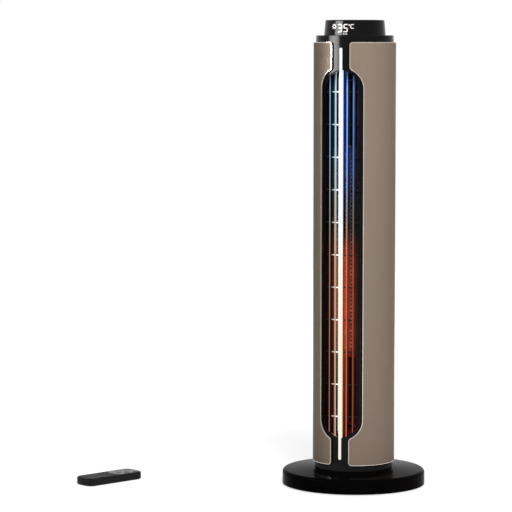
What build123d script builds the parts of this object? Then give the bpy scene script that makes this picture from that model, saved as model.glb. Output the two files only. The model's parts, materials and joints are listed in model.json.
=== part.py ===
from build123d import *
import math
import os

# Tower ceramic fan heater with its remote control, in millimetres.
# The origin is on the floor at the tower's axis, +Z is up and the front faces -Y.

# Base
BASE_RADIUS = 125.5
BASE_WALL = 2.5
BASE_RIM_HEIGHT = 27.0
BASE_RIM_ROUND = 5.5
BASE_CROWN = 4.5
BASE_FLAT_RADIUS = 70.0
SKIRT_CLEAR = 2.0
PLATE_THICKNESS = 2.5
PLATE_CLEARANCE = 0.4
FOOT_RING_MARGIN = 13.5
FOOT_RING_WIDTH = 16.0
FOOT_RING_SUNK = 1.0
BALLAST_INNER = 75.0
BALLAST_MARGIN = 8.5
BALLAST_THICKNESS = 7.0
BALLAST_GAP_DEG = 80.0
BASE_SCREW_CIRCLE = 66.0
BASE_SCREW_COUNT = 6
BASE_BOSS_RADIUS = 4.2
SCREW_RADIUS = 1.5
SCREW_HEAD_RADIUS = 3.0
SCREW_HEAD_HEIGHT = 1.5
SCREW_CLEARANCE = 0.1
SCREW_LENGTH = 11.0
SCREW_END_GAP = 1.0

# Swivel between base and tower
WASHER_THICKNESS = 0.7
WASHER_INNER = 30.0
WASHER_OUTER = 64.0
HUB_RADIUS = 24.0
HUB_NECK_RADIUS = 20.0
HUB_BORE = 15.0
HUB_CLEARANCE = 0.3
HUB_SHOULDER = 4.5
HUB_LENGTH = 16.0
BUSH_RADIUS = 28.0
BUSH_LENGTH = 5.0
SWIVEL_LIMIT_DEG = 35.0
RETAINER_RADIUS = 26.0
RETAINER_THICKNESS = 3.0
RETAINER_RISE = 0.5

# Swing gears
GEAR_MODULE = 1.0
GEAR_TEETH = 60
PINION_TEETH = 15
PRESSURE_ANGLE_DEG = 20.0
GEAR_ADDENDUM = 0.88
GEAR_DEDENDUM = 1.25
GEAR_BACKLASH = 0.3
GEAR_THICKNESS = 5.0
SECTOR_MARGIN_DEG = 9.0
PINION_EXTRA = 1.0
PINION_SHAFT_RADIUS = 2.5
PINION_SHAFT_LENGTH = 9.0
SHAFT_CLEARANCE = 0.25
SWING_MOTOR_RADIUS = 17.5
SWING_MOTOR_HEIGHT = 13.5
SWING_MOTOR_OFFSET = 8.0
SWING_EAR_REACH = 24.0
SWING_EAR_RADIUS = 4.5
SWING_EAR_THICKNESS = 2.0

# Tip-over switch
TIP_X = -32.0
TIP_Y = 74.0
TIP_RADIUS = 3.0
TIP_FLANGE_RADIUS = 4.0
TIP_FLANGE_HEIGHT = 1.6
TIP_TRAVEL = 4.0
TIP_CLEARANCE = 0.3
TIP_BOX_LENGTH = 16.0
TIP_BOX_WIDTH = 12.0
TIP_BOX_WALL = 1.4

# Cord gland in the rear of the base
GLAND_WIDTH = 16.0
GLAND_HEIGHT = 14.0
GLAND_DEPTH = 16.0
GLAND_PROUD = 1.5
GLAND_FLANGE = 3.0
GLAND_FLANGE_DEPTH = 6.0
GLAND_BORE = 3.7
GLAND_CLEARANCE = 0.2

# Tower foot, chassis and its two metal side shells
COLLAR_HEIGHT = 10.2
COLLAR_WALL = 4.0
FOOT_FLOOR = 3.8
SPIGOT_HEIGHT = 8.0
SPIGOT_WALL = 4.0
SPIGOT_CLEARANCE = 0.4
CHASSIS_RADIUS = 68.0
CHASSIS_WALL = 2.5
CHASSIS_LENGTH = 734.6
SEAM_FLANGE_WIDTH = 5.5
SEAM_FLANGE_THICKNESS = 3.0
SHELL_THICKNESS = 3.4
SHELL_CLEARANCE = 0.4
SHELL_REACH_DEG = 118.0
SHELL_END_GAP = 0.4
CUTOUT_HALF = 38.6
CUTOUT_LENGTH = 646.6
CUTOUT_ROUND = 36.0
NECK_HALF = 16.5
NECK_CORNER_ROUND = 6.5
SHELL_END_ROUND = 5.0

# Front window and its grille
WINDOW_HALF = 32.2
WINDOW_LENGTH = 638.6
WINDOW_LIP = 1.8
WINDOW_LIP_BACK = 47.2
GRILLE_CLEARANCE = 0.3
GRILLE_RING = 1.6
GRILLE_RING_DEPTH = 5.6
GRILLE_SET_BACK = 1.8
BAR_WIDTH = 2.2
BAR_DEPTH = 6.8
BAR_PITCH = 11.0
BARS_EACH_SIDE = 2
BAR_SET_BACK = 0.4
RIB_COUNT = 11
RIB_PITCH = 56.36
RIB_THICKNESS = 2.0
RIB_DEPTH = 4.2
RIB_SET_BACK = 2.8
SPINE_WIDTH = 9.8
SPINE_SET_BACK = 3.0
SPINE_DEPTH = 6.5
SPINE_NOTCH_CLEARANCE = 0.3
LIGHT_LENGTH = 714.5
LIGHT_WIDTH = 6.6
LIGHT_NECK_WIDTH = 4.4
LIGHT_TAPER = 12.0
LIGHT_PROUD = 1.5
LIGHT_CLEARANCE = 0.15
LIGHT_BOARD_THICKNESS = 1.2
LIGHT_BOARD_WIDTH = 6.0
LIGHT_BOARD_MARGIN = 2.0

# Rear housing and the intake panel that pulls off it
INTAKE_WIDTH = 84.0
INTAKE_LENGTH = 540.0
INTAKE_ROUND = 8.0
INTAKE_RISE = 3.0
STIFFENER_COUNT = 6
STIFFENER_THICKNESS = 2.0
STIFFENER_DEPTH = 3.0
PANEL_THICKNESS = 1.8
PANEL_CLEARANCE = 0.3
PANEL_REACH_DEG = 48.0
PANEL_MARGIN = 6.0
SLOT_ROWS = 30
SLOT_HEIGHT = 7.0
SLOT_COLUMNS = 3
SLOT_WIDTH = 23.0
SLOT_GAP = 4.5
FILTER_FRAME = 5.0
FILTER_THICKNESS = 1.4
FILTER_MESH = 0.4
FILTER_CLEARANCE = 0.3
FILTER_BARS = 3
FILTER_BAR_WIDTH = 2.0

# Power rocker switch low on the back
ROCKER_HEIGHT_ABOVE_FOOT = 34.0
BEZEL_WIDTH = 15.0
BEZEL_HEIGHT = 22.0
BEZEL_FLANGE = 2.2
BEZEL_PROUD = 1.4
BEZEL_WALL = 1.6
BEZEL_BODY_DEPTH = 15.0
BEZEL_CLEARANCE = 0.2
ROCKER_HALF_HEIGHT = 7.2
ROCKER_RISE = 5.5
ROCKER_DISH = 1.4
ROCKER_HUB = 3.2
ROCKER_WEB = 1.0
ROCKER_CLEARANCE = 0.4
ROCKER_PIN_RADIUS = 1.0
ROCKER_PIN_REACH = 0.9

# Air path: partitions, duct walls and cross-flow fan
PARTITION_THICKNESS = 5.0
PARTITION_INSET = 46.6
LEDGE_HEIGHT = 3.0
LEDGE_WIDTH = 4.5
DUCT_WALL = 1.6
DUCT_HALF = 21.5
DUCT_FLANGE_REACH = 33.8
SCROLL_GAP = 4.0
SCROLL_END_DEG = 40.0
TONGUE_GAP = 2.0
TONGUE_ARC_DEG = 26.0
FAN_OFFSET = 8.0
FAN_RADIUS = 27.0
FAN_INNER = 19.5
FAN_BLADES = 16
FAN_SECTIONS = 3
FAN_DISC = 1.6
FAN_END_GAP = 10.0
BLADE_SWEEP_DEG = 16.0
BLADE_BELLY_DEG = 5.0
BLADE_THICKNESS_DEG = 2.4
FAN_HUB_RADIUS = 7.0
FAN_HUB_LENGTH = 12.0
FAN_SHAFT_RADIUS = 3.0
FAN_SHAFT_CLEARANCE = 0.05
FAN_SHAFT_DEPTH = 28.0
FAN_PIN_RADIUS = 2.5
FAN_PIN_LENGTH = 14.0
BEARING_RADIUS = 8.0
BEARING_CLEARANCE = 0.1
MOTOR_RADIUS = 28.0
MOTOR_HEIGHT = 36.0
MOTOR_RISE = 14.0
MOTOR_CHAMFER = 2.0
CUSHION_OUTER = 26.0
CUSHION_INNER = 14.0
CUSHION_THICKNESS = 6.0
SHAFT_HOLE_CLEARANCE = 3.0

# Ceramic heating core
CORE_LENGTH = 346.0
CORE_DEPTH = 14.0
CORE_MIDDLE_ABOVE_CHASSIS = 371.0
FIN_ROWS = 3
FIN_WIDTH = 8.0
FIN_PITCH = 7.0
FIN_THICKNESS = 0.7
STONE_COUNT = 9
STONE_WIDTH = 4.4
STONE_GAP = 1.0
ELECTRODE_THICKNESS = 0.8
TERMINAL_LENGTH = 9.0
TERMINAL_WIDTH = 6.3
CORE_FRAME_GAP = 0.3
CORE_END_CAP = 9.0
CORE_LIP = 1.0
CUTOUT_SWITCH_RADIUS = 7.0
CUTOUT_SWITCH_DEPTH = 7.0

# Control board beside the fan motor
BOARD_THICKNESS = 1.6
CONTROL_BOARD_WIDTH = 76.0
CONTROL_BOARD_HEIGHT = 48.0
CONTROL_BOARD_FRONT = 47.0
RELAY_WIDTH = 15.0
RELAY_HEIGHT = 19.0
RELAY_DEPTH = 8.0
CAPACITOR_RADIUS = 5.0
CAPACITOR_LENGTH = 9.0

# Top deck and display cap
DECK_HEIGHT = 11.4
DECK_INSET = 0.2
DECK_WALL = 3.0
DECK_GROOVE_RISE = 6.6
DECK_GROOVE_WIDTH = 1.0
DECK_GROOVE_DEPTH = 0.8
DECK_CHAMFER = 0.7
CAP_HEIGHT = 26.6
CAP_RADIUS_LOW = 53.8
CAP_RADIUS_HIGH = 51.5
CAP_WALL = 2.2
CAP_ROUND = 2.0
DISPLAY_WIDTH = 40.0
DISPLAY_HEIGHT = 18.0
DISPLAY_DEPTH = 4.0
DISPLAY_FRONT = 44.8
DISPLAY_RISE = 3.0
WIRE_HOLE_RADIUS = 8.0

# Screws of the rear housing
HOUSING_SCREW_DEG = 55.0
HOUSING_SCREW_LENGTH = 6.0

# Remote control, lying on the floor beside the heater
REMOTE_X = -405.8
REMOTE_Y = -151.0
REMOTE_TURN_DEG = 65.4
REMOTE_LENGTH = 124.0
REMOTE_WIDTH = 45.0
REMOTE_HEIGHT = 14.0
REMOTE_BULGE = 3.0
REMOTE_CORNER = 12.5
REMOTE_EDGE = 3.2
REMOTE_SPLIT = 6.5
REMOTE_WALL = 1.6
FASCIA_LENGTH = 46.0
FASCIA_SEAM_SAG = 11.0
FASCIA_INSET = 2.6
FASCIA_THICKNESS = 1.0
FASCIA_CLEARANCE = 0.15
KEY_RADIUS = 4.5
KEY_CLEARANCE = 0.3
KEY_PROUD = 0.7
KEY_TRAVEL = 0.8
KEY_ROWS = 4
KEY_ROW_PITCH = 9.6
KEY_SIDE_STEP = 12.0
KEY_TOP_MARGIN = 11.5
KEY_CHAMFER = 0.4
REMOTE_BOARD_TOP = 8.8
REMOTE_BOARD_THICKNESS = 1.2
REMOTE_BOARD_WIDTH = 36.0
REMOTE_BOARD_START = -1.0
REMOTE_POST_RADIUS = 2.0
DOME_RADIUS = 2.6
DOME_HEIGHT = 0.5
BATTERY_RADIUS = 5.25
BATTERY_LENGTH = 44.0
BATTERY_GAP = 0.25
BATTERY_START = -52.0
BATTERY_TIP_RADIUS = 1.9
BATTERY_TIP_LENGTH = 0.8
CONTACT_THICKNESS = 0.5
CONTACT_HEIGHT = 8.0
CONTACT_GAP = 0.2
LID_WIDTH = 26.0
LID_THICKNESS = 1.4
LID_CLEARANCE = 0.2
LID_LENGTH = 56.0
EMITTER_RADIUS = 2.5
EMITTER_LENGTH = 9.0
EMITTER_CLEARANCE = 0.2

# Heights that follow from the sizes above
PLATE_LOW = SKIRT_CLEAR
PLATE_TOP = PLATE_LOW + PLATE_THICKNESS
FOOT_RING_OUTER = BASE_RADIUS - FOOT_RING_MARGIN
FOOT_RING_INNER = FOOT_RING_OUTER - FOOT_RING_WIDTH
BALLAST_OUTER = BASE_RADIUS - BALLAST_MARGIN
FLAT_TOP = BASE_RIM_HEIGHT + BASE_CROWN
FLAT_UNDERSIDE = FLAT_TOP - BASE_WALL
TOWER_LOW = FLAT_TOP + WASHER_THICKNESS
CHASSIS_LOW = TOWER_LOW + COLLAR_HEIGHT
CHASSIS_HIGH = CHASSIS_LOW + CHASSIS_LENGTH
CHASSIS_MIDDLE = CHASSIS_LOW + CHASSIS_LENGTH / 2
CHASSIS_INNER = CHASSIS_RADIUS - CHASSIS_WALL
SPIGOT_RADIUS = CHASSIS_INNER - SPIGOT_CLEARANCE
SPIGOT_TOP = CHASSIS_LOW + SPIGOT_HEIGHT
DECK_SPIGOT_LOW = CHASSIS_HIGH - SPIGOT_HEIGHT
DECK_TOP = CHASSIS_HIGH + DECK_HEIGHT
SHELL_INNER = CHASSIS_RADIUS + SHELL_CLEARANCE
SHELL_OUTER = SHELL_INNER + SHELL_THICKNESS
FLOOR_TOP = TOWER_LOW + FOOT_FLOOR
HUB_LOW = TOWER_LOW - HUB_LENGTH
HUB_SHOULDER_LOW = TOWER_LOW - HUB_SHOULDER
RETAINER_LOW = HUB_LOW + RETAINER_RISE
SECTOR_LOW = RETAINER_LOW + RETAINER_THICKNESS
SECTOR_TOP = SECTOR_LOW + GEAR_THICKNESS
GEAR_PITCH_RADIUS = GEAR_MODULE * GEAR_TEETH / 2
PINION_PITCH_RADIUS = GEAR_MODULE * PINION_TEETH / 2
GEAR_DISTANCE = GEAR_PITCH_RADIUS + PINION_PITCH_RADIUS
MOTOR_TOP = FLOOR_TOP + MOTOR_RISE + MOTOR_HEIGHT
FLOOR_PARTITION_LOW = MOTOR_TOP + CUSHION_THICKNESS
DUCT_LOW = FLOOR_PARTITION_LOW + PARTITION_THICKNESS
DUCT_HIGH = CHASSIS_HIGH - (DUCT_LOW - CHASSIS_LOW)
CORE_MIDDLE = CHASSIS_LOW + CORE_MIDDLE_ABOVE_CHASSIS
INTAKE_MIDDLE = CHASSIS_MIDDLE + INTAKE_RISE
ROCKER_Z = CHASSIS_LOW + ROCKER_HEIGHT_ABOVE_FOOT
FAN_LOW = DUCT_LOW + FAN_END_GAP
FAN_HIGH = DUCT_HIGH - FAN_END_GAP


def disc(radius, low, high, x=0.0, y=0.0):
    """Upright cylinder between two heights."""
    return Pos(x, y, low) * Cylinder(radius, high - low, align=(Align.CENTER, Align.CENTER, Align.MIN))


def tube(outer, inner, low, high, x=0.0, y=0.0):
    """Upright ring between two heights."""
    face = Circle(outer) - Circle(inner)
    return Pos(x, y, low) * extrude(face, high - low)


def block(x_low, x_high, y_low, y_high, z_low, z_high):
    """Box between two opposite corners."""
    corner = (Align.MIN, Align.MIN, Align.MIN)
    return Pos(x_low, y_low, z_low) * Box(x_high - x_low, y_high - y_low, z_high - z_low, align=corner)


def prism(sketch, y_low, y_high):
    """Outline drawn in X and Z, pushed along Y."""
    return extrude(Plane.XZ.offset(-y_high) * sketch, y_high - y_low)


def polar(radius, angle_deg):
    """Point at a radius and an angle, which is counted from +X towards +Y."""
    angle = math.radians(angle_deg)
    return (radius * math.cos(angle), radius * math.sin(angle))


def pie(radius, start_deg, span_deg):
    """Slice of a disc."""
    first = polar(radius, start_deg)
    last = polar(radius, start_deg + span_deg)
    rim = CenterArc((0, 0), radius, start_deg, span_deg)
    return make_face([Line((0, 0), first), rim, Line(last, (0, 0))])


def ring_sector(outer, inner, start_deg, span_deg, low, high):
    """Part of an upright ring."""
    face = pie(outer, start_deg, span_deg) - Circle(inner)
    return Pos(0, 0, low) * extrude(face, high - low)


def upright_slot(half_width, length):
    """Slot outline with round ends, about the middle of the chassis."""
    return Pos(0, CHASSIS_MIDDLE) * SlotOverall(length, 2 * half_width, rotation=90)


# Base


def base_profile(inset):
    """Half section of the base or of its hollow, under a shallow crown.

    The outside has a round rim and the hollow a bevelled one.
    """
    wall = BASE_RADIUS - inset
    rim = BASE_RIM_HEIGHT - inset
    flat = FLAT_TOP - inset
    shoulder = BASE_RADIUS - BASE_RIM_ROUND
    round_start = BASE_RIM_HEIGHT - BASE_RIM_ROUND
    corner = CenterArc((shoulder, round_start), BASE_RIM_ROUND, 0, 90)
    if inset > 0:
        corner = Line((wall, round_start), (shoulder, rim))
    edges = [
        Line((0, SKIRT_CLEAR), (wall, SKIRT_CLEAR)),
        Line((wall, SKIRT_CLEAR), (wall, round_start)),
        corner,
        Line((shoulder, rim), (BASE_FLAT_RADIUS, flat)),
        Line((BASE_FLAT_RADIUS, flat), (0, flat)),
        Line((0, flat), (0, SKIRT_CLEAR)),
    ]
    return make_face(edges)


def base_solid(inset):
    return revolve(Plane.XZ * base_profile(inset), Axis.Z)


def screw_spots():
    """Centres of the screws that hold the base plate."""
    step = 360 / BASE_SCREW_COUNT
    return [polar(BASE_SCREW_CIRCLE, step * index) for index in range(BASE_SCREW_COUNT)]


def gland_height():
    return PLATE_TOP + GLAND_HEIGHT / 2


def base_cover():
    """Glossy disc shell with the swivel bush and the screw bosses inside."""
    cover = base_solid(0) - base_solid(BASE_WALL)
    cover -= disc(BASE_RADIUS - BASE_WALL, 0, PLATE_TOP)
    cover += disc(BUSH_RADIUS, FLAT_UNDERSIDE - BUSH_LENGTH + BASE_WALL, FLAT_TOP)
    for x, y in screw_spots():
        cover += disc(BASE_BOSS_RADIUS, PLATE_TOP, FLAT_UNDERSIDE + BASE_WALL / 2, x, y)
        cover -= disc(SCREW_RADIUS + SCREW_CLEARANCE, 0, PLATE_TOP + SCREW_LENGTH, x, y)
    cover -= disc(HUB_RADIUS + HUB_CLEARANCE, 0, FLAT_TOP + 1)
    half = GLAND_WIDTH / 2 + GLAND_CLEARANCE
    top = PLATE_TOP + GLAND_HEIGHT + GLAND_CLEARANCE
    cover -= block(-half, half, BASE_RADIUS - 2 * BASE_WALL, BASE_RADIUS + 1, PLATE_LOW - 1, top)
    return cover


def base_plate():
    """Bottom plate with a groove for the rubber ring and a hole for the tip switch."""
    plate = disc(BASE_RADIUS - BASE_WALL - PLATE_CLEARANCE, PLATE_LOW, PLATE_TOP)
    plate -= tube(FOOT_RING_OUTER, FOOT_RING_INNER, PLATE_LOW, PLATE_LOW + FOOT_RING_SUNK)
    plate -= disc(TIP_RADIUS + TIP_CLEARANCE, 0, PLATE_TOP, TIP_X, TIP_Y)
    for x, y in screw_spots():
        plate -= disc(SCREW_RADIUS + 2 * SCREW_CLEARANCE, 0, PLATE_TOP, x, y)
    return plate


def foot_ring():
    return tube(FOOT_RING_OUTER, FOOT_RING_INNER, 0, PLATE_LOW + FOOT_RING_SUNK)


def ballast_ring():
    """Steel weight in the base, open at the back for the wires."""
    start = 90 + BALLAST_GAP_DEG / 2
    span = 360 - BALLAST_GAP_DEG
    top = PLATE_TOP + BALLAST_THICKNESS
    return ring_sector(BALLAST_OUTER, BALLAST_INNER, start, span, PLATE_TOP, top)


def base_screws():
    screws = Part()
    for x, y in screw_spots():
        screws += disc(SCREW_HEAD_RADIUS, PLATE_LOW - SCREW_HEAD_HEIGHT, PLATE_LOW, x, y)
        screws += disc(SCREW_RADIUS, PLATE_LOW, PLATE_TOP + SCREW_LENGTH - SCREW_END_GAP, x, y)
    return screws


def cord_gland():
    """Strain relief with a wide flange behind the wall of the base."""
    outer = BASE_RADIUS + GLAND_PROUD
    inner = outer - GLAND_DEPTH
    half = GLAND_WIDTH / 2
    top = PLATE_TOP + GLAND_HEIGHT
    gland = block(-half, half, inner, outer, PLATE_TOP, top)
    flange_half = half + GLAND_FLANGE
    gland += block(-flange_half, flange_half, inner, inner + GLAND_FLANGE_DEPTH, PLATE_TOP, top)
    gland -= prism(Pos(0, gland_height()) * Circle(GLAND_BORE), inner - 1, outer + 1)
    return gland


def tip_switch_box():
    """Housing over the plunger, on the base plate."""
    top = PLATE_TOP + TIP_TRAVEL + 2 * TIP_FLANGE_HEIGHT + TIP_BOX_WALL
    half_x = TIP_BOX_LENGTH / 2
    half_y = TIP_BOX_WIDTH / 2
    box = block(TIP_X - half_x, TIP_X + half_x, TIP_Y - half_y, TIP_Y + half_y, PLATE_TOP, top)
    well_top = top - TIP_BOX_WALL
    return box - disc(TIP_FLANGE_RADIUS + TIP_CLEARANCE, PLATE_TOP, well_top, TIP_X, TIP_Y)


def tip_plunger():
    """Feeler pin, pressed up by the floor and held in by its flange."""
    flange_low = PLATE_TOP + TIP_TRAVEL + TIP_CLEARANCE
    pin = disc(TIP_RADIUS, 0, flange_low, TIP_X, TIP_Y)
    return pin + disc(TIP_FLANGE_RADIUS, flange_low, flange_low + TIP_FLANGE_HEIGHT, TIP_X, TIP_Y)


def swing_motor():
    """Flat gear motor with an offset shaft and two ears."""
    middle = GEAR_DISTANCE + SWING_MOTOR_OFFSET
    top = PLATE_TOP + SWING_MOTOR_HEIGHT
    motor = disc(SWING_MOTOR_RADIUS, PLATE_TOP, top, 0, middle)
    ear_span = 2 * (SWING_EAR_REACH + SWING_EAR_RADIUS)
    ears = Pos(0, middle) * SlotOverall(ear_span, 2 * SWING_EAR_RADIUS)
    motor += Pos(0, 0, PLATE_TOP) * extrude(ears, SWING_EAR_THICKNESS)
    bore = PINION_SHAFT_RADIUS + SHAFT_CLEARANCE
    motor -= disc(bore, top - PINION_SHAFT_LENGTH - 1, top, 0, GEAR_DISTANCE)
    return motor


def swivel_washer():
    return tube(WASHER_OUTER, WASHER_INNER, FLAT_TOP, TOWER_LOW)


# Swing gears


def involute_angle(base_radius, radius):
    """Polar angle of an involute, counted from where it leaves its base circle."""
    if radius <= base_radius:
        return 0.0
    lift = math.sqrt((radius / base_radius) ** 2 - 1)
    return lift - math.atan(lift)


def tooth_profile(teeth):
    """Radii and half angles of one tooth: root, foot, middle and tip of its flank."""
    pitch = GEAR_MODULE * teeth / 2
    base = pitch * math.cos(math.radians(PRESSURE_ANGLE_DEG))
    root = pitch - GEAR_DEDENDUM * GEAR_MODULE
    tip = pitch + GEAR_ADDENDUM * GEAR_MODULE
    foot = max(base, root)
    half_pitch_tooth = math.pi / (2 * teeth) - GEAR_BACKLASH / (4 * pitch)
    zero = half_pitch_tooth + involute_angle(base, pitch)
    stations = [root, foot, (foot + tip) / 2, tip]
    return [(radius, math.degrees(zero - involute_angle(base, radius))) for radius in stations]


def tooth_face(teeth, middle_deg, core_radius):
    """One tooth, down to a core circle below its root."""
    root, foot, middle, tip = tooth_profile(teeth)
    edges = []
    for side in (-1, 1):
        on_foot = polar(foot[0], middle_deg + side * foot[1])
        on_middle = polar(middle[0], middle_deg + side * middle[1])
        on_tip = polar(tip[0], middle_deg + side * tip[1])
        on_core = polar(core_radius, middle_deg + side * root[1])
        edges += [Line(on_core, on_foot), ThreePointArc(on_foot, on_middle, on_tip)]
    tip_low = polar(tip[0], middle_deg - tip[1])
    tip_high = polar(tip[0], middle_deg + tip[1])
    edges.append(ThreePointArc(tip_low, polar(tip[0], middle_deg), tip_high))
    core_low = polar(core_radius, middle_deg - root[1])
    core_high = polar(core_radius, middle_deg + root[1])
    edges.append(Line(core_low, core_high))
    return make_face(edges)


def swing_sector():
    """Toothed sector on the tower's hub, with a tooth gap straight behind the axis."""
    root_radius = tooth_profile(GEAR_TEETH)[0][0]
    step = 360 / GEAR_TEETH
    reach = SWIVEL_LIMIT_DEG + SECTOR_MARGIN_DEG
    count = 2 * math.ceil(reach / step)
    first = 90 - step * (count - 1) / 2
    face = pie(root_radius, first - step / 2, step * count)
    for index in range(count):
        face += tooth_face(GEAR_TEETH, first + step * index, root_radius - GEAR_MODULE)
    face += Circle(RETAINER_RADIUS)
    face -= Circle(HUB_NECK_RADIUS + SCREW_CLEARANCE)
    return Pos(0, 0, SECTOR_LOW) * extrude(face, GEAR_THICKNESS)


def swing_pinion():
    """Motor pinion with a tooth towards the sector's gap."""
    root_radius = tooth_profile(PINION_TEETH)[0][0]
    face = Circle(root_radius)
    for index in range(PINION_TEETH):
        face += tooth_face(PINION_TEETH, -90 + 360 / PINION_TEETH * index, root_radius - GEAR_MODULE)
    motor_top = PLATE_TOP + SWING_MOTOR_HEIGHT
    low = motor_top + SHAFT_CLEARANCE
    high = SECTOR_TOP + PINION_EXTRA
    pinion = Pos(0, 0, low) * extrude(face, high - low)
    pinion += disc(PINION_SHAFT_RADIUS, motor_top - PINION_SHAFT_LENGTH, low)
    return Pos(0, GEAR_DISTANCE, 0) * pinion


# Tower foot, chassis and shells


def housing_screw_spots():
    """Angle and height of each screw in the rear housing."""
    low = CHASSIS_LOW + SPIGOT_HEIGHT / 2
    high = CHASSIS_HIGH - SPIGOT_HEIGHT / 2
    floor = DUCT_LOW - PARTITION_THICKNESS / 2
    ceiling = DUCT_HIGH + PARTITION_THICKNESS / 2
    heights = [low, floor, ceiling, high]
    return [(90 + side * HOUSING_SCREW_DEG, height) for height in heights for side in (-1, 1)]


def radial_pin(radius, start, length, angle_deg, height):
    """Pin that points outwards from the tower's axis."""
    x, y = polar(start, angle_deg)
    direction = polar(1, angle_deg)
    plane = Plane(origin=(x, y, height), z_dir=(direction[0], direction[1], 0))
    return plane * Cylinder(radius, length, align=(Align.CENTER, Align.CENTER, Align.MIN))


def housing_screw_holes(extra):
    holes = Part()
    start = CHASSIS_RADIUS - HOUSING_SCREW_LENGTH - SCREW_CLEARANCE
    for angle, height in housing_screw_spots():
        holes += radial_pin(SCREW_RADIUS + extra, start, 2 * HOUSING_SCREW_LENGTH, angle, height)
    return holes


def housing_screws():
    screws = Part()
    start = CHASSIS_RADIUS - HOUSING_SCREW_LENGTH
    for angle, height in housing_screw_spots():
        screws += radial_pin(SCREW_RADIUS, start, HOUSING_SCREW_LENGTH, angle, height)
        screws += radial_pin(SCREW_HEAD_RADIUS, CHASSIS_RADIUS, SCREW_HEAD_HEIGHT, angle, height)
    return screws


def tower_foot():
    """Black collar with its floor, the spigot for the chassis and the swivel hub."""
    foot = disc(CHASSIS_RADIUS, TOWER_LOW, FLOOR_TOP)
    foot += tube(CHASSIS_RADIUS, CHASSIS_RADIUS - COLLAR_WALL, TOWER_LOW, CHASSIS_LOW)
    foot += tube(SPIGOT_RADIUS, SPIGOT_RADIUS - SPIGOT_WALL, TOWER_LOW, SPIGOT_TOP)
    foot += disc(HUB_RADIUS, HUB_SHOULDER_LOW, FLOOR_TOP)
    foot += disc(HUB_NECK_RADIUS, HUB_LOW, FLOOR_TOP)
    foot -= disc(HUB_BORE, HUB_LOW, FLOOR_TOP)
    return foot - housing_screw_holes(SCREW_CLEARANCE)


def swivel_retainer():
    """Nut ring under the sector that keeps the tower on its base."""
    bore = HUB_NECK_RADIUS + SCREW_CLEARANCE
    return tube(RETAINER_RADIUS, bore, RETAINER_LOW, SECTOR_LOW)


def seam_flanges(y_low, y_high):
    """Upright ribs along both seams of the chassis."""
    inner = CHASSIS_INNER - SEAM_FLANGE_WIDTH
    outer = CHASSIS_RADIUS - CHASSIS_WALL / 2
    low = SPIGOT_TOP + SPIGOT_CLEARANCE
    high = DECK_SPIGOT_LOW - SPIGOT_CLEARANCE
    right = block(inner, outer, y_low, y_high, low, high)
    return right + mirror(right, Plane.YZ)


def light_outline(clearance):
    """Outline of the light strip, which narrows in both necks."""
    half = LIGHT_WIDTH / 2 + clearance
    neck_half = LIGHT_NECK_WIDTH / 2 + clearance
    length = LIGHT_LENGTH + 2 * clearance
    outline = Pos(0, CHASSIS_MIDDLE) * SlotOverall(length, 2 * neck_half, rotation=90)
    wide = WINDOW_LENGTH / 2 - WINDOW_HALF / 2
    narrow = wide + LIGHT_TAPER
    corners = [
        (-neck_half, narrow),
        (-half, wide),
        (-half, -wide),
        (-neck_half, -narrow),
        (neck_half, -narrow),
        (half, -wide),
        (half, wide),
        (neck_half, narrow),
    ]
    return outline + Pos(0, CHASSIS_MIDDLE) * Polygon(*corners, align=None)


def front_frame():
    """Glossy front half of the chassis, with a deep lip around the window."""
    frame = ring_sector(CHASSIS_RADIUS, CHASSIS_INNER, 180, 180, CHASSIS_LOW, CHASSIS_HIGH)
    lip = upright_slot(WINDOW_HALF + WINDOW_LIP, WINDOW_LENGTH + 2 * WINDOW_LIP)
    lip_core = disc(CHASSIS_RADIUS - CHASSIS_WALL / 2, CHASSIS_LOW, CHASSIS_HIGH)
    frame += prism(lip, -CHASSIS_RADIUS, -WINDOW_LIP_BACK) & lip_core
    frame -= prism(upright_slot(WINDOW_HALF, WINDOW_LENGTH), -CHASSIS_RADIUS - 1, 0)
    frame += seam_flanges(-SEAM_FLANGE_THICKNESS, 0)
    notch = SPINE_WIDTH / 2 + SPINE_NOTCH_CLEARANCE
    spine_front = CHASSIS_RADIUS - SPINE_SET_BACK
    spine_back = spine_front - SPINE_DEPTH - SPINE_NOTCH_CLEARANCE
    frame -= block(-notch, notch, -CHASSIS_INNER, -spine_back, SPIGOT_TOP, DECK_SPIGOT_LOW)
    return frame - prism(light_outline(LIGHT_CLEARANCE), -CHASSIS_RADIUS - 1, -spine_back)


def light_board_front():
    return CHASSIS_RADIUS - SPINE_SET_BACK - SPINE_DEPTH / 2


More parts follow.
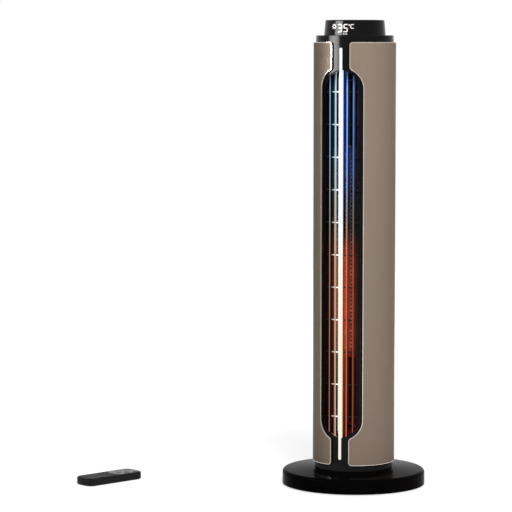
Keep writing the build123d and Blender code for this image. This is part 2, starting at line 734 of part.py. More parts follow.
def front_grille():
    """Ring, ribs, upright bars and the channelled spine that holds the light."""
    half = WINDOW_HALF - GRILLE_CLEARANCE
    length = WINDOW_LENGTH - 2 * GRILLE_CLEARANCE
    ring = upright_slot(half, length)
    ring -= upright_slot(half - GRILLE_RING, length - 2 * GRILLE_RING)
    outer = CHASSIS_RADIUS - GRILLE_SET_BACK
    inner = outer - GRILLE_RING_DEPTH
    grille = prism(ring, -CHASSIS_RADIUS, 0) & tube(outer, inner, CHASSIS_LOW, CHASSIS_HIGH)
    inside = prism(upright_slot(half - GRILLE_RING / 2, length - GRILLE_RING), -CHASSIS_RADIUS, 0)
    grille += grille_bars() & inside
    grille += grille_ribs() & inside
    spine_front = CHASSIS_RADIUS - SPINE_SET_BACK
    spine_back = spine_front - SPINE_DEPTH
    spine_half = SPINE_WIDTH / 2
    low = CHASSIS_MIDDLE - LIGHT_LENGTH / 2
    high = CHASSIS_MIDDLE + LIGHT_LENGTH / 2
    spigot_gap = SPIGOT_TOP + SPIGOT_CLEARANCE
    deck_gap = DECK_SPIGOT_LOW - SPIGOT_CLEARANCE
    low = max(low, spigot_gap)
    high = min(high, deck_gap)
    grille += block(-spine_half, spine_half, -spine_front, -spine_back, low, high)
    groove = LIGHT_WIDTH / 2 + LIGHT_CLEARANCE
    board_back = light_board_front() - LIGHT_BOARD_THICKNESS
    return grille - block(-groove, groove, -CHASSIS_RADIUS, -board_back, CHASSIS_LOW, CHASSIS_HIGH)


def grille_bars():
    """Upright bars that follow the round front, with rounded edges."""
    radius = CHASSIS_RADIUS - BAR_SET_BACK - BAR_DEPTH / 2
    section = Sketch()
    for index in range(1, BARS_EACH_SIDE + 1):
        for side in (-1, 1):
            lean = side * math.degrees(math.asin(BAR_PITCH * index / CHASSIS_RADIUS))
            x, y = polar(radius, lean - 90)
            section += Pos(x, y) * SlotOverall(BAR_DEPTH, BAR_WIDTH, rotation=lean - 90)
    return Pos(0, 0, CHASSIS_LOW) * extrude(section, CHASSIS_LENGTH)


def grille_ribs():
    """Level ribs behind the bars."""
    outer = CHASSIS_RADIUS - RIB_SET_BACK
    ribs = Part()
    for index in range(RIB_COUNT):
        low = CHASSIS_MIDDLE + RIB_PITCH * (index - (RIB_COUNT - 1) / 2) - RIB_THICKNESS / 2
        ribs += ring_sector(outer, outer - RIB_DEPTH, -135, 90, low, low + RIB_THICKNESS)
    return ribs


def light_strip():
    """Opal strip that runs up the window and through both necks."""
    strip = prism(light_outline(0), -2 * CHASSIS_RADIUS, -light_board_front())
    return strip & disc(CHASSIS_RADIUS + LIGHT_PROUD, CHASSIS_LOW, CHASSIS_HIGH)


def light_board():
    """Lamp board in the spine, behind the strip."""
    half = LIGHT_BOARD_WIDTH / 2
    front = light_board_front()
    low = SPIGOT_TOP + LIGHT_BOARD_MARGIN
    high = DECK_SPIGOT_LOW - LIGHT_BOARD_MARGIN
    return block(-half, half, -front, LIGHT_BOARD_THICKNESS - front, low, high)


def right_shell():
    """Metal side shell, cut to the window with a round shoulder at each neck."""
    low = CHASSIS_LOW + SHELL_END_GAP
    high = CHASSIS_HIGH - SHELL_END_GAP
    span = SHELL_OUTER - NECK_HALF
    side = Pos(NECK_HALF + span / 2, CHASSIS_MIDDLE) * Rectangle(span, high - low)
    side -= Pos(0, CHASSIS_MIDDLE) * RectangleRounded(2 * CUTOUT_HALF, CUTOUT_LENGTH, CUTOUT_ROUND)
    edge = side.vertices().filter_by_position(Axis.X, NECK_HALF - 0.1, NECK_HALF + 0.1)
    edge = edge.sort_by(Axis.Y)
    side = fillet(edge[1:-1], NECK_CORNER_ROUND)
    edge = side.vertices().filter_by_position(Axis.X, NECK_HALF - 0.1, NECK_HALF + 0.1)
    edge = edge.sort_by(Axis.Y)
    side = fillet([edge[0], edge[-1]], SHELL_END_ROUND)
    wrap = ring_sector(SHELL_OUTER, SHELL_INNER, -90, SHELL_REACH_DEG, low, high)
    return wrap & prism(side, -SHELL_OUTER, SHELL_OUTER)


def left_shell():
    return mirror(right_shell(), Plane.YZ)


def rear_housing():
    """Rear half of the chassis, with the ribbed intake opening and the switch hole."""
    housing = ring_sector(CHASSIS_RADIUS, CHASSIS_INNER, 0, 180, CHASSIS_LOW, CHASSIS_HIGH)
    opening = Pos(0, INTAKE_MIDDLE) * RectangleRounded(INTAKE_WIDTH, INTAKE_LENGTH, INTAKE_ROUND)
    housing -= prism(opening, 0, CHASSIS_RADIUS + 1)
    housing += intake_stiffeners()
    housing += seam_flanges(0, SEAM_FLANGE_THICKNESS)
    wall_middle = CHASSIS_RADIUS - CHASSIS_WALL / 2
    for low in (FLOOR_PARTITION_LOW - LEDGE_HEIGHT, DUCT_HIGH - LEDGE_HEIGHT):
        ledge = ring_sector(wall_middle, CHASSIS_INNER - LEDGE_WIDTH, 0, 180, low, low + LEDGE_HEIGHT)
        housing += ledge
    housing -= bezel_pocket()
    return housing - housing_screw_holes(2 * SCREW_CLEARANCE)


def intake_stiffeners():
    """Curved ribs and one upright bar across the inside of the intake opening."""
    outer = CHASSIS_INNER
    inner = outer - STIFFENER_DEPTH
    reach = math.degrees(math.asin((INTAKE_WIDTH / 2 + INTAKE_ROUND) / outer))
    pitch = INTAKE_LENGTH / (STIFFENER_COUNT + 1)
    anchor = ring_sector(outer + CHASSIS_WALL / 2, inner, 90 - reach, 2 * reach, 0, STIFFENER_THICKNESS)
    opening_half = INTAKE_WIDTH / 2
    anchor -= block(-opening_half, opening_half, 0, CHASSIS_RADIUS, 0, STIFFENER_THICKNESS)
    rib = ring_sector(outer, inner, 90 - reach, 2 * reach, 0, STIFFENER_THICKNESS) + anchor
    stiffeners = Part()
    for index in range(STIFFENER_COUNT):
        low = INTAKE_MIDDLE - INTAKE_LENGTH / 2 + pitch * (index + 1) - STIFFENER_THICKNESS / 2
        stiffeners += Pos(0, 0, low) * rib
    half = STIFFENER_THICKNESS / 2
    bar_low = INTAKE_MIDDLE - INTAKE_LENGTH / 2 - INTAKE_ROUND
    bar_high = INTAKE_MIDDLE + INTAKE_LENGTH / 2 + INTAKE_ROUND
    bar = block(-half, half, inner, outer, bar_low, bar_high)
    return stiffeners + bar


def bezel_pocket():
    """Hole and flat seat for the switch in the wall of the rear housing."""
    half_x = BEZEL_WIDTH / 2 + BEZEL_CLEARANCE
    half_z = BEZEL_HEIGHT / 2 + BEZEL_CLEARANCE
    front = CHASSIS_RADIUS + BEZEL_PROUD
    seat = block(-half_x, half_x, front - BEZEL_FLANGE, front, ROCKER_Z - half_z, ROCKER_Z + half_z)
    half_x -= BEZEL_WALL
    half_z -= BEZEL_WALL
    hole = block(-half_x, half_x, 0, front, ROCKER_Z - half_z, ROCKER_Z + half_z)
    return seat + hole


def rocker_bezel():
    """Switch body with a flange on the housing and a well for the rocker."""
    front = CHASSIS_RADIUS + BEZEL_PROUD
    half_x = BEZEL_WIDTH / 2
    half_z = BEZEL_HEIGHT / 2
    back = front - BEZEL_FLANGE
    bezel = block(-half_x, half_x, back, front, ROCKER_Z - half_z, ROCKER_Z + half_z)
    body_x = half_x - BEZEL_WALL
    body_z = half_z - BEZEL_WALL
    deep = front - BEZEL_BODY_DEPTH
    bezel += block(-body_x, body_x, deep, back, ROCKER_Z - body_z, ROCKER_Z + body_z)
    well_x = body_x - BEZEL_WALL
    well_z = body_z - BEZEL_WALL / 2
    well_back = rocker_pivot_y() - ROCKER_HUB - ROCKER_CLEARANCE
    bezel -= block(-well_x, well_x, well_back, front, ROCKER_Z - well_z, ROCKER_Z + well_z)
    pin = Pos(0, rocker_pivot_y(), ROCKER_Z) * Rot(0, 90, 0)
    reach = well_x + ROCKER_PIN_REACH + ROCKER_CLEARANCE / 2
    return bezel - pin * Cylinder(ROCKER_PIN_RADIUS + SCREW_CLEARANCE, 2 * reach)


def rocker_pivot_y():
    return CHASSIS_RADIUS + BEZEL_PROUD - ROCKER_RISE + ROCKER_DISH


def power_rocker():
    """Dished rocker on a round hub, with a pin at each side."""
    pivot = rocker_pivot_y()
    half = ROCKER_HALF_HEIGHT
    top = pivot + ROCKER_RISE
    outline = Polygon(
        (top, ROCKER_Z - half),
        (top - ROCKER_DISH, ROCKER_Z),
        (top, ROCKER_Z + half),
        (pivot + ROCKER_WEB, ROCKER_Z + half),
        (pivot - ROCKER_WEB, ROCKER_Z),
        (pivot + ROCKER_WEB, ROCKER_Z - half),
        align=None,
    )
    outline += Pos(pivot, ROCKER_Z) * Circle(ROCKER_HUB)
    well_x = BEZEL_WIDTH / 2 - 2 * BEZEL_WALL
    half_x = well_x - ROCKER_CLEARANCE
    rocker = Pos(-half_x, 0, 0) * extrude(Plane.YZ * outline, 2 * half_x)
    pin = Pos(0, pivot, ROCKER_Z) * Rot(0, 90, 0)
    return rocker + pin * Cylinder(ROCKER_PIN_RADIUS, 2 * (well_x + ROCKER_PIN_REACH))


def intake_grille():
    """Curved panel with rows of slots, on the outside of the rear housing."""
    inner = CHASSIS_RADIUS + PANEL_CLEARANCE
    outer = inner + PANEL_THICKNESS
    low = INTAKE_MIDDLE - INTAKE_LENGTH / 2 - PANEL_MARGIN
    high = INTAKE_MIDDLE + INTAKE_LENGTH / 2 + PANEL_MARGIN
    panel = ring_sector(outer, inner, 90 - PANEL_REACH_DEG, 2 * PANEL_REACH_DEG, low, high)
    pitch = (INTAKE_LENGTH - SLOT_HEIGHT) / SLOT_ROWS
    slots = Sketch()
    for row in range(SLOT_ROWS):
        z = INTAKE_MIDDLE + pitch * (row - (SLOT_ROWS - 1) / 2)
        for column in range(SLOT_COLUMNS):
            x = (SLOT_WIDTH + SLOT_GAP) * (column - (SLOT_COLUMNS - 1) / 2)
            slots += Pos(x, z) * Rectangle(SLOT_WIDTH, SLOT_HEIGHT)
    return panel - prism(slots, 0, outer + 1)


def dust_filter():
    """Framed mesh in the intake opening, carried behind the panel."""
    outer = CHASSIS_RADIUS
    inner = outer - FILTER_THICKNESS
    width = INTAKE_WIDTH - 2 * FILTER_CLEARANCE
    length = INTAKE_LENGTH - 2 * FILTER_CLEARANCE
    rim = RectangleRounded(width, length, INTAKE_ROUND - FILTER_CLEARANCE)
    field = Rectangle(width - 2 * FILTER_FRAME, length - 2 * FILTER_FRAME)
    bars = Sketch()
    for index in range(FILTER_BARS):
        z = length / (FILTER_BARS + 1) * (index + 1) - length / 2
        bars += Pos(0, z) * Rectangle(width - FILTER_FRAME, FILTER_BAR_WIDTH)
    frame = Pos(0, INTAKE_MIDDLE) * (rim - field + bars)
    low = INTAKE_MIDDLE - length / 2
    high = INTAKE_MIDDLE + length / 2
    mesh_outer = (outer + inner + FILTER_MESH) / 2
    mesh = tube(mesh_outer, mesh_outer - FILTER_MESH, low, high)
    mesh &= prism(Pos(0, INTAKE_MIDDLE) * rim, 0, outer)
    return (tube(outer, inner, low, high) & prism(frame, 0, outer + 1)) + mesh


# Air path


def partition(low):
    """Level plate between the air path and the space above or below it."""
    high = low + PARTITION_THICKNESS
    reach = CHASSIS_RADIUS
    plate = disc(SPIGOT_RADIUS, low, high)
    plate -= block(-reach, reach, -reach, -PARTITION_INSET, low, high)
    notch_x = CHASSIS_INNER - SEAM_FLANGE_WIDTH - SPIGOT_CLEARANCE
    notch_y = SEAM_FLANGE_THICKNESS + SPIGOT_CLEARANCE
    notch = block(notch_x, reach, -notch_y, notch_y, low, high)
    return plate - notch - mirror(notch, Plane.YZ) - housing_screw_holes(SCREW_CLEARANCE)


def duct_floor():
    plate = partition(FLOOR_PARTITION_LOW)
    hole = FAN_SHAFT_RADIUS + SHAFT_HOLE_CLEARANCE
    return plate - disc(hole, FLOOR_PARTITION_LOW, DUCT_LOW, 0, FAN_OFFSET)


def duct_ceiling():
    plate = partition(DUCT_HIGH)
    hole = BEARING_RADIUS + BEARING_CLEARANCE
    return plate - disc(hole, DUCT_HIGH, DUCT_HIGH + PARTITION_THICKNESS, 0, FAN_OFFSET)


def arc_wall(inner_radius, start_deg, span_deg):
    """Section of a duct wall that curves around the fan."""
    face = pie(inner_radius + DUCT_WALL, start_deg, span_deg) - Circle(inner_radius)
    return Pos(0, FAN_OFFSET) * face


def duct_side(side, curve_radius, curve_end_deg):
    """Straight channel wall with a front flange, which ends in an arc around the fan."""
    front = -WINDOW_LIP_BACK
    start_x = DUCT_HALF + DUCT_WALL
    start_deg = -math.degrees(math.acos(start_x / (curve_radius + DUCT_WALL)))
    back = FAN_OFFSET + curve_radius * math.sin(math.radians(start_deg))
    wall = Pos(DUCT_HALF + DUCT_WALL / 2, (front + back) / 2) * Rectangle(DUCT_WALL, back - front)
    flange_span = DUCT_FLANGE_REACH - DUCT_HALF
    flange = Pos(DUCT_HALF + flange_span / 2, front + DUCT_WALL / 2) * Rectangle(flange_span, DUCT_WALL)
    curve = arc_wall(curve_radius, start_deg, curve_end_deg - start_deg)
    section = wall + flange + curve
    if side < 0:
        section = mirror(section, Plane.YZ)
    return Pos(0, 0, DUCT_LOW) * extrude(section, DUCT_HIGH - DUCT_LOW)


def duct_right():
    """Scroll side of the air path."""
    return duct_side(1, FAN_RADIUS + SCROLL_GAP, SCROLL_END_DEG)


def duct_left():
    """Tongue side of the air path."""
    radius = FAN_RADIUS + TONGUE_GAP
    start = -math.degrees(math.acos((DUCT_HALF + DUCT_WALL) / (radius + DUCT_WALL)))
    return duct_side(-1, radius, start + TONGUE_ARC_DEG)


def blade_face(angle_deg):
    """Section of one forward-curved fan blade."""
    tip_radius = FAN_RADIUS - FAN_DISC / 2
    middle_radius = (FAN_INNER + tip_radius) / 2
    arcs = []
    ends = []
    for turn in (0, BLADE_THICKNESS_DEG):
        inner = polar(FAN_INNER, angle_deg + turn)
        middle = polar(middle_radius, angle_deg + turn + BLADE_BELLY_DEG)
        outer = polar(tip_radius, angle_deg + turn + BLADE_SWEEP_DEG)
        arcs.append(ThreePointArc(inner, middle, outer))
        ends.append((inner, outer))
    inner_end = Line(ends[0][0], ends[1][0])
    outer_end = Line(ends[0][1], ends[1][1])
    return make_face([*arcs, inner_end, outer_end])


def fan_wheel():
    """Cross-flow fan: long blades between end discs, with rings between its sections."""
    blades = Sketch()
    for index in range(FAN_BLADES):
        blades += blade_face(360 / FAN_BLADES * index)
    wheel = Pos(0, 0, FAN_LOW) * extrude(blades, FAN_HIGH - FAN_LOW)
    wheel += disc(FAN_RADIUS, FAN_LOW, FAN_LOW + FAN_DISC)
    wheel += disc(FAN_RADIUS, FAN_HIGH - FAN_DISC, FAN_HIGH)
    step = (FAN_HIGH - FAN_LOW) / FAN_SECTIONS
    for index in range(1, FAN_SECTIONS):
        middle = FAN_LOW + step * index
        low = middle - FAN_DISC / 2
        wheel += tube(FAN_RADIUS, FAN_INNER - FAN_DISC, low, low + FAN_DISC)
    wheel += disc(FAN_HUB_RADIUS, FAN_LOW, FAN_LOW + FAN_HUB_LENGTH)
    wheel += disc(FAN_HUB_RADIUS, FAN_HIGH - FAN_HUB_LENGTH, FAN_HIGH)
    wheel -= disc(FAN_SHAFT_RADIUS + FAN_SHAFT_CLEARANCE, FAN_LOW, FAN_LOW + FAN_HUB_LENGTH)
    wheel -= disc(FAN_PIN_RADIUS + FAN_SHAFT_CLEARANCE, FAN_HIGH - FAN_HUB_LENGTH, FAN_HIGH)
    return Pos(0, FAN_OFFSET, 0) * wheel


def fan_shaft():
    """Motor shaft up into the wheel, and the short pin above it."""
    low = MOTOR_TOP - FAN_SHAFT_DEPTH
    shaft = disc(FAN_SHAFT_RADIUS, low, FAN_LOW + FAN_HUB_LENGTH, 0, FAN_OFFSET)
    pin_low = FAN_HIGH - FAN_HUB_LENGTH
    return shaft + disc(FAN_PIN_RADIUS, pin_low, pin_low + FAN_HUB_LENGTH + FAN_PIN_LENGTH, 0, FAN_OFFSET)


def top_bearing():
    """Sleeve bearing in the ceiling of the air path."""
    high = DUCT_HIGH + PARTITION_THICKNESS
    bore = FAN_PIN_RADIUS + BEARING_CLEARANCE
    return tube(BEARING_RADIUS, bore, DUCT_HIGH, high, 0, FAN_OFFSET)


def fan_motor():
    """Motor can under the floor of the air path."""
    low = MOTOR_TOP - MOTOR_HEIGHT
    motor = disc(MOTOR_RADIUS, low, MOTOR_TOP)
    motor = chamfer(motor.edges().filter_by(GeomType.CIRCLE), MOTOR_CHAMFER)
    bore = FAN_SHAFT_RADIUS + SHAFT_CLEARANCE
    motor -= disc(bore, MOTOR_TOP - FAN_SHAFT_DEPTH - 1, MOTOR_TOP)
    return Pos(0, FAN_OFFSET, 0) * motor


def motor_cushion():
    return tube(CUSHION_OUTER, CUSHION_INNER, MOTOR_TOP, FLOOR_PARTITION_LOW, 0, FAN_OFFSET)


# Heating core


def core_half_width():
    heater_rows = FIN_ROWS - 1
    stack = FIN_ROWS * FIN_WIDTH + heater_rows * (STONE_WIDTH + 2 * ELECTRODE_THICKNESS)
    return stack / 2


def core_row_step():
    return FIN_WIDTH + STONE_WIDTH + 2 * ELECTRODE_THICKNESS


def core_front():
    return -WINDOW_LIP_BACK + CORE_LIP + CORE_FRAME_GAP


def core_slab(sketch):
    """Outline of a core piece, pushed through the depth of the core."""
    return prism(Pos(0, CORE_MIDDLE) * sketch, core_front(), core_front() + CORE_DEPTH)


def zigzag():
    """Outline of one corrugated fin strip."""
    count = math.floor(CORE_LENGTH / FIN_PITCH) * 2
    start = -count * FIN_PITCH / 4
    slope = math.atan2(FIN_PITCH / 2, FIN_WIDTH)
    half_sheet = FIN_THICKNESS / (2 * math.sin(slope))
    half = FIN_WIDTH / 2 - half_sheet
    line = []
    for index in range(count + 1):
        side = half if index % 2 else -half
        line.append((side, start + index * FIN_PITCH / 2))
    right = [(x + half_sheet, z) for x, z in line]
    left = [(x - half_sheet, z) for x, z in reversed(line)]
    return Polygon(*right, *left, align=None)


def ptc_fins():
    """Corrugated aluminium fins in upright rows."""
    fins = Part()
    for row in range(FIN_ROWS):
        x = core_row_step() * (row - (FIN_ROWS - 1) / 2)
        fins += core_slab(Pos(x, 0) * zigzag())
    return fins


def ptc_stones():
    """Ceramic heating stones between the fin rows."""
    stones = Part()
    pitch = CORE_LENGTH / STONE_COUNT
    for row in range(FIN_ROWS - 1):
        x = core_row_step() * (row - (FIN_ROWS - 2) / 2)
        for index in range(STONE_COUNT):
            z = pitch * (index - (STONE_COUNT - 1) / 2)
            stones += core_slab(Pos(x, z) * Rectangle(STONE_WIDTH, pitch - STONE_GAP))
    return stones


def ptc_electrodes():
    """Thin electrode strips on both sides of the stones, with terminals below."""
    strips = Part()
    offset = (STONE_WIDTH + ELECTRODE_THICKNESS) / 2
    terminal_z = -CORE_LENGTH / 2 - TERMINAL_LENGTH / 2
    front = core_front() + (CORE_DEPTH - TERMINAL_WIDTH) / 2
    for row in range(FIN_ROWS - 1):
        middle = core_row_step() * (row - (FIN_ROWS - 2) / 2)
        for side in (-1, 1):
            x = middle + side * offset
            strips += core_slab(Pos(x, 0) * Rectangle(ELECTRODE_THICKNESS, CORE_LENGTH))
            tab = Pos(x, CORE_MIDDLE + terminal_z) * Rectangle(ELECTRODE_THICKNESS, TERMINAL_LENGTH)
            strips += prism(tab, front, front + TERMINAL_WIDTH)
    return strips


def ptc_frame():
    """Heat-proof frame around the core, with end caps and a lip in front."""
    inner = core_half_width() + CORE_FRAME_GAP
    outer = DUCT_HALF - CORE_FRAME_GAP
    inner_length = CORE_LENGTH + 2 * CORE_FRAME_GAP
    outer_length = inner_length + 2 * CORE_END_CAP
    front = core_front() - CORE_LIP
    back = core_front() + CORE_DEPTH + CORE_LIP
    at_core = Pos(0, CORE_MIDDLE)
    frame = prism(at_core * Rectangle(2 * outer, outer_length), front, back)
    frame -= prism(at_core * Rectangle(2 * inner, inner_length), core_front(), back)
    window = Rectangle(2 * (inner - CORE_LIP), inner_length - 2 * CORE_LIP)
    frame -= prism(at_core * window, front, back)
    tab_low = CORE_MIDDLE - CORE_LENGTH / 2 - TERMINAL_LENGTH - CORE_FRAME_GAP
    tab_front = core_front() + (CORE_DEPTH - TERMINAL_WIDTH) / 2 - CORE_FRAME_GAP
    tab_back = tab_front + TERMINAL_WIDTH + 2 * CORE_FRAME_GAP
    half = ELECTRODE_THICKNESS / 2 + CORE_FRAME_GAP
    offset = (STONE_WIDTH + ELECTRODE_THICKNESS) / 2
    for row in range(FIN_ROWS - 1):
        middle = core_row_step() * (row - (FIN_ROWS - 2) / 2)
        for side in (-1, 1):
            x = middle + side * offset
            frame -= block(x - half, x + half, tab_front, tab_back, tab_low, CORE_MIDDLE)
    return frame


def thermal_cutout():
    """Resettable cut-out switch behind the upper end cap of the core."""
    cap_middle = CORE_MIDDLE + CORE_LENGTH / 2 + CORE_FRAME_GAP + CORE_END_CAP / 2
    back = core_front() + CORE_DEPTH + CORE_LIP
    return prism(Pos(0, cap_middle) * Circle(CUTOUT_SWITCH_RADIUS), back, back + CUTOUT_SWITCH_DEPTH)


# Electronics


def control_board():
    """Upright board on the foot's floor, with two relays and a capacitor."""
    half = CONTROL_BOARD_WIDTH / 2
    back = BOARD_THICKNESS - CONTROL_BOARD_FRONT
    board = block(-half, half, -CONTROL_BOARD_FRONT, back, FLOOR_TOP, FLOOR_TOP + CONTROL_BOARD_HEIGHT)
    relay_low = FLOOR_TOP + (CONTROL_BOARD_HEIGHT - RELAY_HEIGHT) / 2
    for side in (-1, 1):
        x = side * (RELAY_WIDTH + CAPACITOR_RADIUS) - RELAY_WIDTH / 2
        board += block(x, x + RELAY_WIDTH, back, back + RELAY_DEPTH, relay_low, relay_low + RELAY_HEIGHT)
    spot = Pos(0, relay_low + CAPACITOR_RADIUS)
    return board + prism(spot * Circle(CAPACITOR_RADIUS), back, back + CAPACITOR_LENGTH)


# Top deck and display cap


def top_deck():
    """Black deck with a shadow groove and a spigot into the chassis."""
    radius = CHASSIS_RADIUS - DECK_INSET
    deck = disc(radius, CHASSIS_HIGH, DECK_TOP)
    deck = chamfer(deck.edges().sort_by(Axis.Z)[-1], DECK_CHAMFER)
    groove = CHASSIS_HIGH + DECK_GROOVE_RISE
    deck -= tube(radius + 1, radius - DECK_GROOVE_DEPTH, groove, groove + DECK_GROOVE_WIDTH)
    deck -= disc(SPIGOT_RADIUS - SPIGOT_WALL, CHASSIS_HIGH, DECK_TOP - DECK_WALL)
    deck += tube(SPIGOT_RADIUS, SPIGOT_RADIUS - SPIGOT_WALL, DECK_SPIGOT_LOW, DECK_TOP - DECK_WALL)
    deck -= disc(WIRE_HOLE_RADIUS, CHASSIS_HIGH, DECK_TOP)
    return deck - housing_screw_holes(SCREW_CLEARANCE)


def cap_profile(inset):
    """Half section of the display cap, which narrows upwards."""
    top = CAP_HEIGHT - inset
    return Polygon((0, 0), (CAP_RADIUS_LOW - inset, 0), (CAP_RADIUS_HIGH - inset, top), (0, top), align=None)


def display_cap():
    """Smoked cap over the display."""
    cap = revolve(Plane.XZ * cap_profile(0), Axis.Z)
    cap = fillet(cap.edges().filter_by(GeomType.CIRCLE).sort_by(Axis.Z)[-1], CAP_ROUND)
    cap -= revolve(Plane.XZ * cap_profile(CAP_WALL), Axis.Z)
    return Pos(0, 0, DECK_TOP) * cap


def display_module():
    """Segment display behind the front of the cap."""
    half = DISPLAY_WIDTH / 2
    low = DECK_TOP + DISPLAY_RISE
    return block(-half, half, -DISPLAY_FRONT, DISPLAY_DEPTH - DISPLAY_FRONT, low, low + DISPLAY_HEIGHT)


def display_board():
    """Upright board that carries the display on the deck."""
    half = DISPLAY_WIDTH / 2
    front = DISPLAY_DEPTH - DISPLAY_FRONT
    high = DECK_TOP + DISPLAY_RISE + DISPLAY_HEIGHT
    return block(-half, half, front, front + BOARD_THICKNESS, DECK_TOP, high)


# Remote control, drawn along +X with its emitter end at +X, then laid beside the heater


def laid(part):
    """Move a piece of the remote to where it lies."""
    return Pos(REMOTE_X, REMOTE_Y, 0) * Rot(0, 0, REMOTE_TURN_DEG) * part


def remote_outline():
    """Plan of the remote: straight sides, bowed ends and round corners."""
    side = REMOTE_LENGTH / 2 - REMOTE_BULGE
    half = REMOTE_WIDTH / 2
    end = REMOTE_LENGTH / 2
    edges = [
        Line((-side, -half), (side, -half)),
        ThreePointArc((side, -half), (end, 0), (side, half)),
        Line((side, half), (-side, half)),
        ThreePointArc((-side, half), (-end, 0), (-side, -half)),
    ]
    face = make_face(edges)
    return fillet(face.vertices(), REMOTE_CORNER)


def remote_solid():
    solid = extrude(remote_outline(), REMOTE_HEIGHT)
    rims = solid.edges().filter_by_position(Axis.Z, REMOTE_HEIGHT, REMOTE_HEIGHT)
    rims += solid.edges().filter_by_position(Axis.Z, 0, 0)
    return fillet(rims, REMOTE_EDGE)


def remote_cavity():
    inside = offset(remote_outline(), amount=-REMOTE_WALL)
    return Pos(0, 0, REMOTE_WALL) * extrude(inside, REMOTE_HEIGHT - 2 * REMOTE_WALL)


def remote_slice(low, high):
    half = REMOTE_LENGTH
    return block(-half, half, -half, half, low, high)


def lid_box(clearance, top):
    """Space of the battery lid, open towards the tail end."""
    start = -REMOTE_LENGTH
    end = LID_LENGTH - REMOTE_LENGTH / 2 + clearance
    half = LID_WIDTH / 2 + clearance
    return block(start, end, -half, half, -1, top)


def remote_posts():
    """Posts under the corners of the remote's board."""
    low_x = REMOTE_BOARD_START + 2 * REMOTE_POST_RADIUS
    high_x = remote_board_end() - 2 * REMOTE_POST_RADIUS
    y = REMOTE_BOARD_WIDTH / 2 - 2 * REMOTE_POST_RADIUS
    top = REMOTE_BOARD_TOP - REMOTE_BOARD_THICKNESS
    posts = Part()
    for x in (low_x, high_x):
        for side in (-1, 1):
            posts += disc(REMOTE_POST_RADIUS, REMOTE_WALL / 2, top, x, side * y)
    return posts


def remote_bottom():
    """Lower shell of the remote with its battery opening."""
    bottom = (remote_solid() & remote_slice(0, REMOTE_SPLIT)) - remote_cavity()
    bottom -= lid_box(LID_CLEARANCE, LID_THICKNESS + LID_CLEARANCE)
    bottom -= battery_opening()
    return laid(bottom + remote_posts())


def battery_opening():
    start = BATTERY_START - CONTACT_GAP - CONTACT_THICKNESS
    end = BATTERY_START + BATTERY_LENGTH + BATTERY_TIP_LENGTH + CONTACT_GAP + CONTACT_THICKNESS
    half = 2 * BATTERY_RADIUS + BATTERY_GAP
    return block(start, end, -half, half, 0, REMOTE_SPLIT)


def fascia_outline(extra):
    """Glossy field around the keys, with a bowed seam towards the tail."""
    field = offset(remote_outline(), amount=extra - FASCIA_INSET)
    seam_x = REMOTE_LENGTH / 2 - FASCIA_LENGTH
    half = REMOTE_WIDTH / 2
    far = REMOTE_LENGTH
    edges = [
        ThreePointArc((seam_x - extra, -half), (seam_x - FASCIA_SEAM_SAG - extra, 0), (seam_x - extra, half)),
        Line((seam_x - extra, half), (far, half)),
        Line((far, half), (far, -half)),
        Line((far, -half), (seam_x - extra, -half)),
    ]
    return field & make_face(edges)


def key_spots():
    """Centres of the six keys: two, one, two and one to a row."""
    first = REMOTE_LENGTH / 2 - KEY_TOP_MARGIN
    spots = []
    for row in range(KEY_ROWS):
        x = first - KEY_ROW_PITCH * row
        if row % 2:
            spots.append((x, 0.0))
        else:
            spots += [(x, KEY_SIDE_STEP), (x, -KEY_SIDE_STEP)]
    return spots


def remote_top():
    """Upper shell of the remote with a shallow seat for the fascia."""
    top = (remote_solid() & remote_slice(REMOTE_SPLIT, REMOTE_HEIGHT)) - remote_cavity()
    seat_low = REMOTE_HEIGHT - FASCIA_THICKNESS
    top -= Pos(0, 0, seat_low) * extrude(fascia_outline(FASCIA_CLEARANCE), FASCIA_THICKNESS)
    for x, y in key_spots():
        top -= disc(KEY_RADIUS + KEY_CLEARANCE, REMOTE_SPLIT, REMOTE_HEIGHT, x, y)
    hole = Pos(REMOTE_LENGTH / 2, 0, emitter_height()) * Rot(0, 90, 0)
    top -= hole * Cylinder(EMITTER_RADIUS + EMITTER_CLEARANCE, 4 * REMOTE_BULGE)
    return laid(top)


def remote_fascia():
    """Glossy plate with the key holes."""
    fascia = extrude(fascia_outline(0), FASCIA_THICKNESS)
    for x, y in key_spots():
        fascia -= disc(KEY_RADIUS + KEY_CLEARANCE, 0, FASCIA_THICKNESS, x, y)
    return laid(Pos(0, 0, REMOTE_HEIGHT - FASCIA_THICKNESS) * fascia)


def emitter_height():
    return REMOTE_BOARD_TOP + DOME_HEIGHT


def remote_board_end():
    return REMOTE_LENGTH / 2 - EMITTER_LENGTH - REMOTE_WALL - EMITTER_CLEARANCE


def remote_board():
    """Key board with a dome switch under each key."""
    half = REMOTE_BOARD_WIDTH / 2
    low = REMOTE_BOARD_TOP - REMOTE_BOARD_THICKNESS
    board = block(REMOTE_BOARD_START, remote_board_end(), -half, half, low, REMOTE_BOARD_TOP)
    for x, y in key_spots():
        board += disc(DOME_RADIUS, REMOTE_BOARD_TOP - DOME_HEIGHT, REMOTE_BOARD_TOP + DOME_HEIGHT, x, y)
    return laid(board)


def remote_emitter():
    """Infrared emitter in the end wall."""
    start = remote_board_end() + EMITTER_CLEARANCE
    body = Pos(start, 0, emitter_height()) * Rot(0, 90, 0)
    align = (Align.CENTER, Align.CENTER, Align.MIN)
    return laid(body * Cylinder(EMITTER_RADIUS, EMITTER_LENGTH + REMOTE_WALL, align=align))


def remote_key(spot):
    """Round key with a chamfered rim."""
    low = REMOTE_BOARD_TOP + DOME_HEIGHT + KEY_TRAVEL
    high = REMOTE_HEIGHT + KEY_PROUD
    key = disc(KEY_RADIUS, low, high, spot[0], spot[1])
    key = chamfer(key.edges().sort_by(Axis.Z)[-1], KEY_CHAMFER)
    return laid(key)


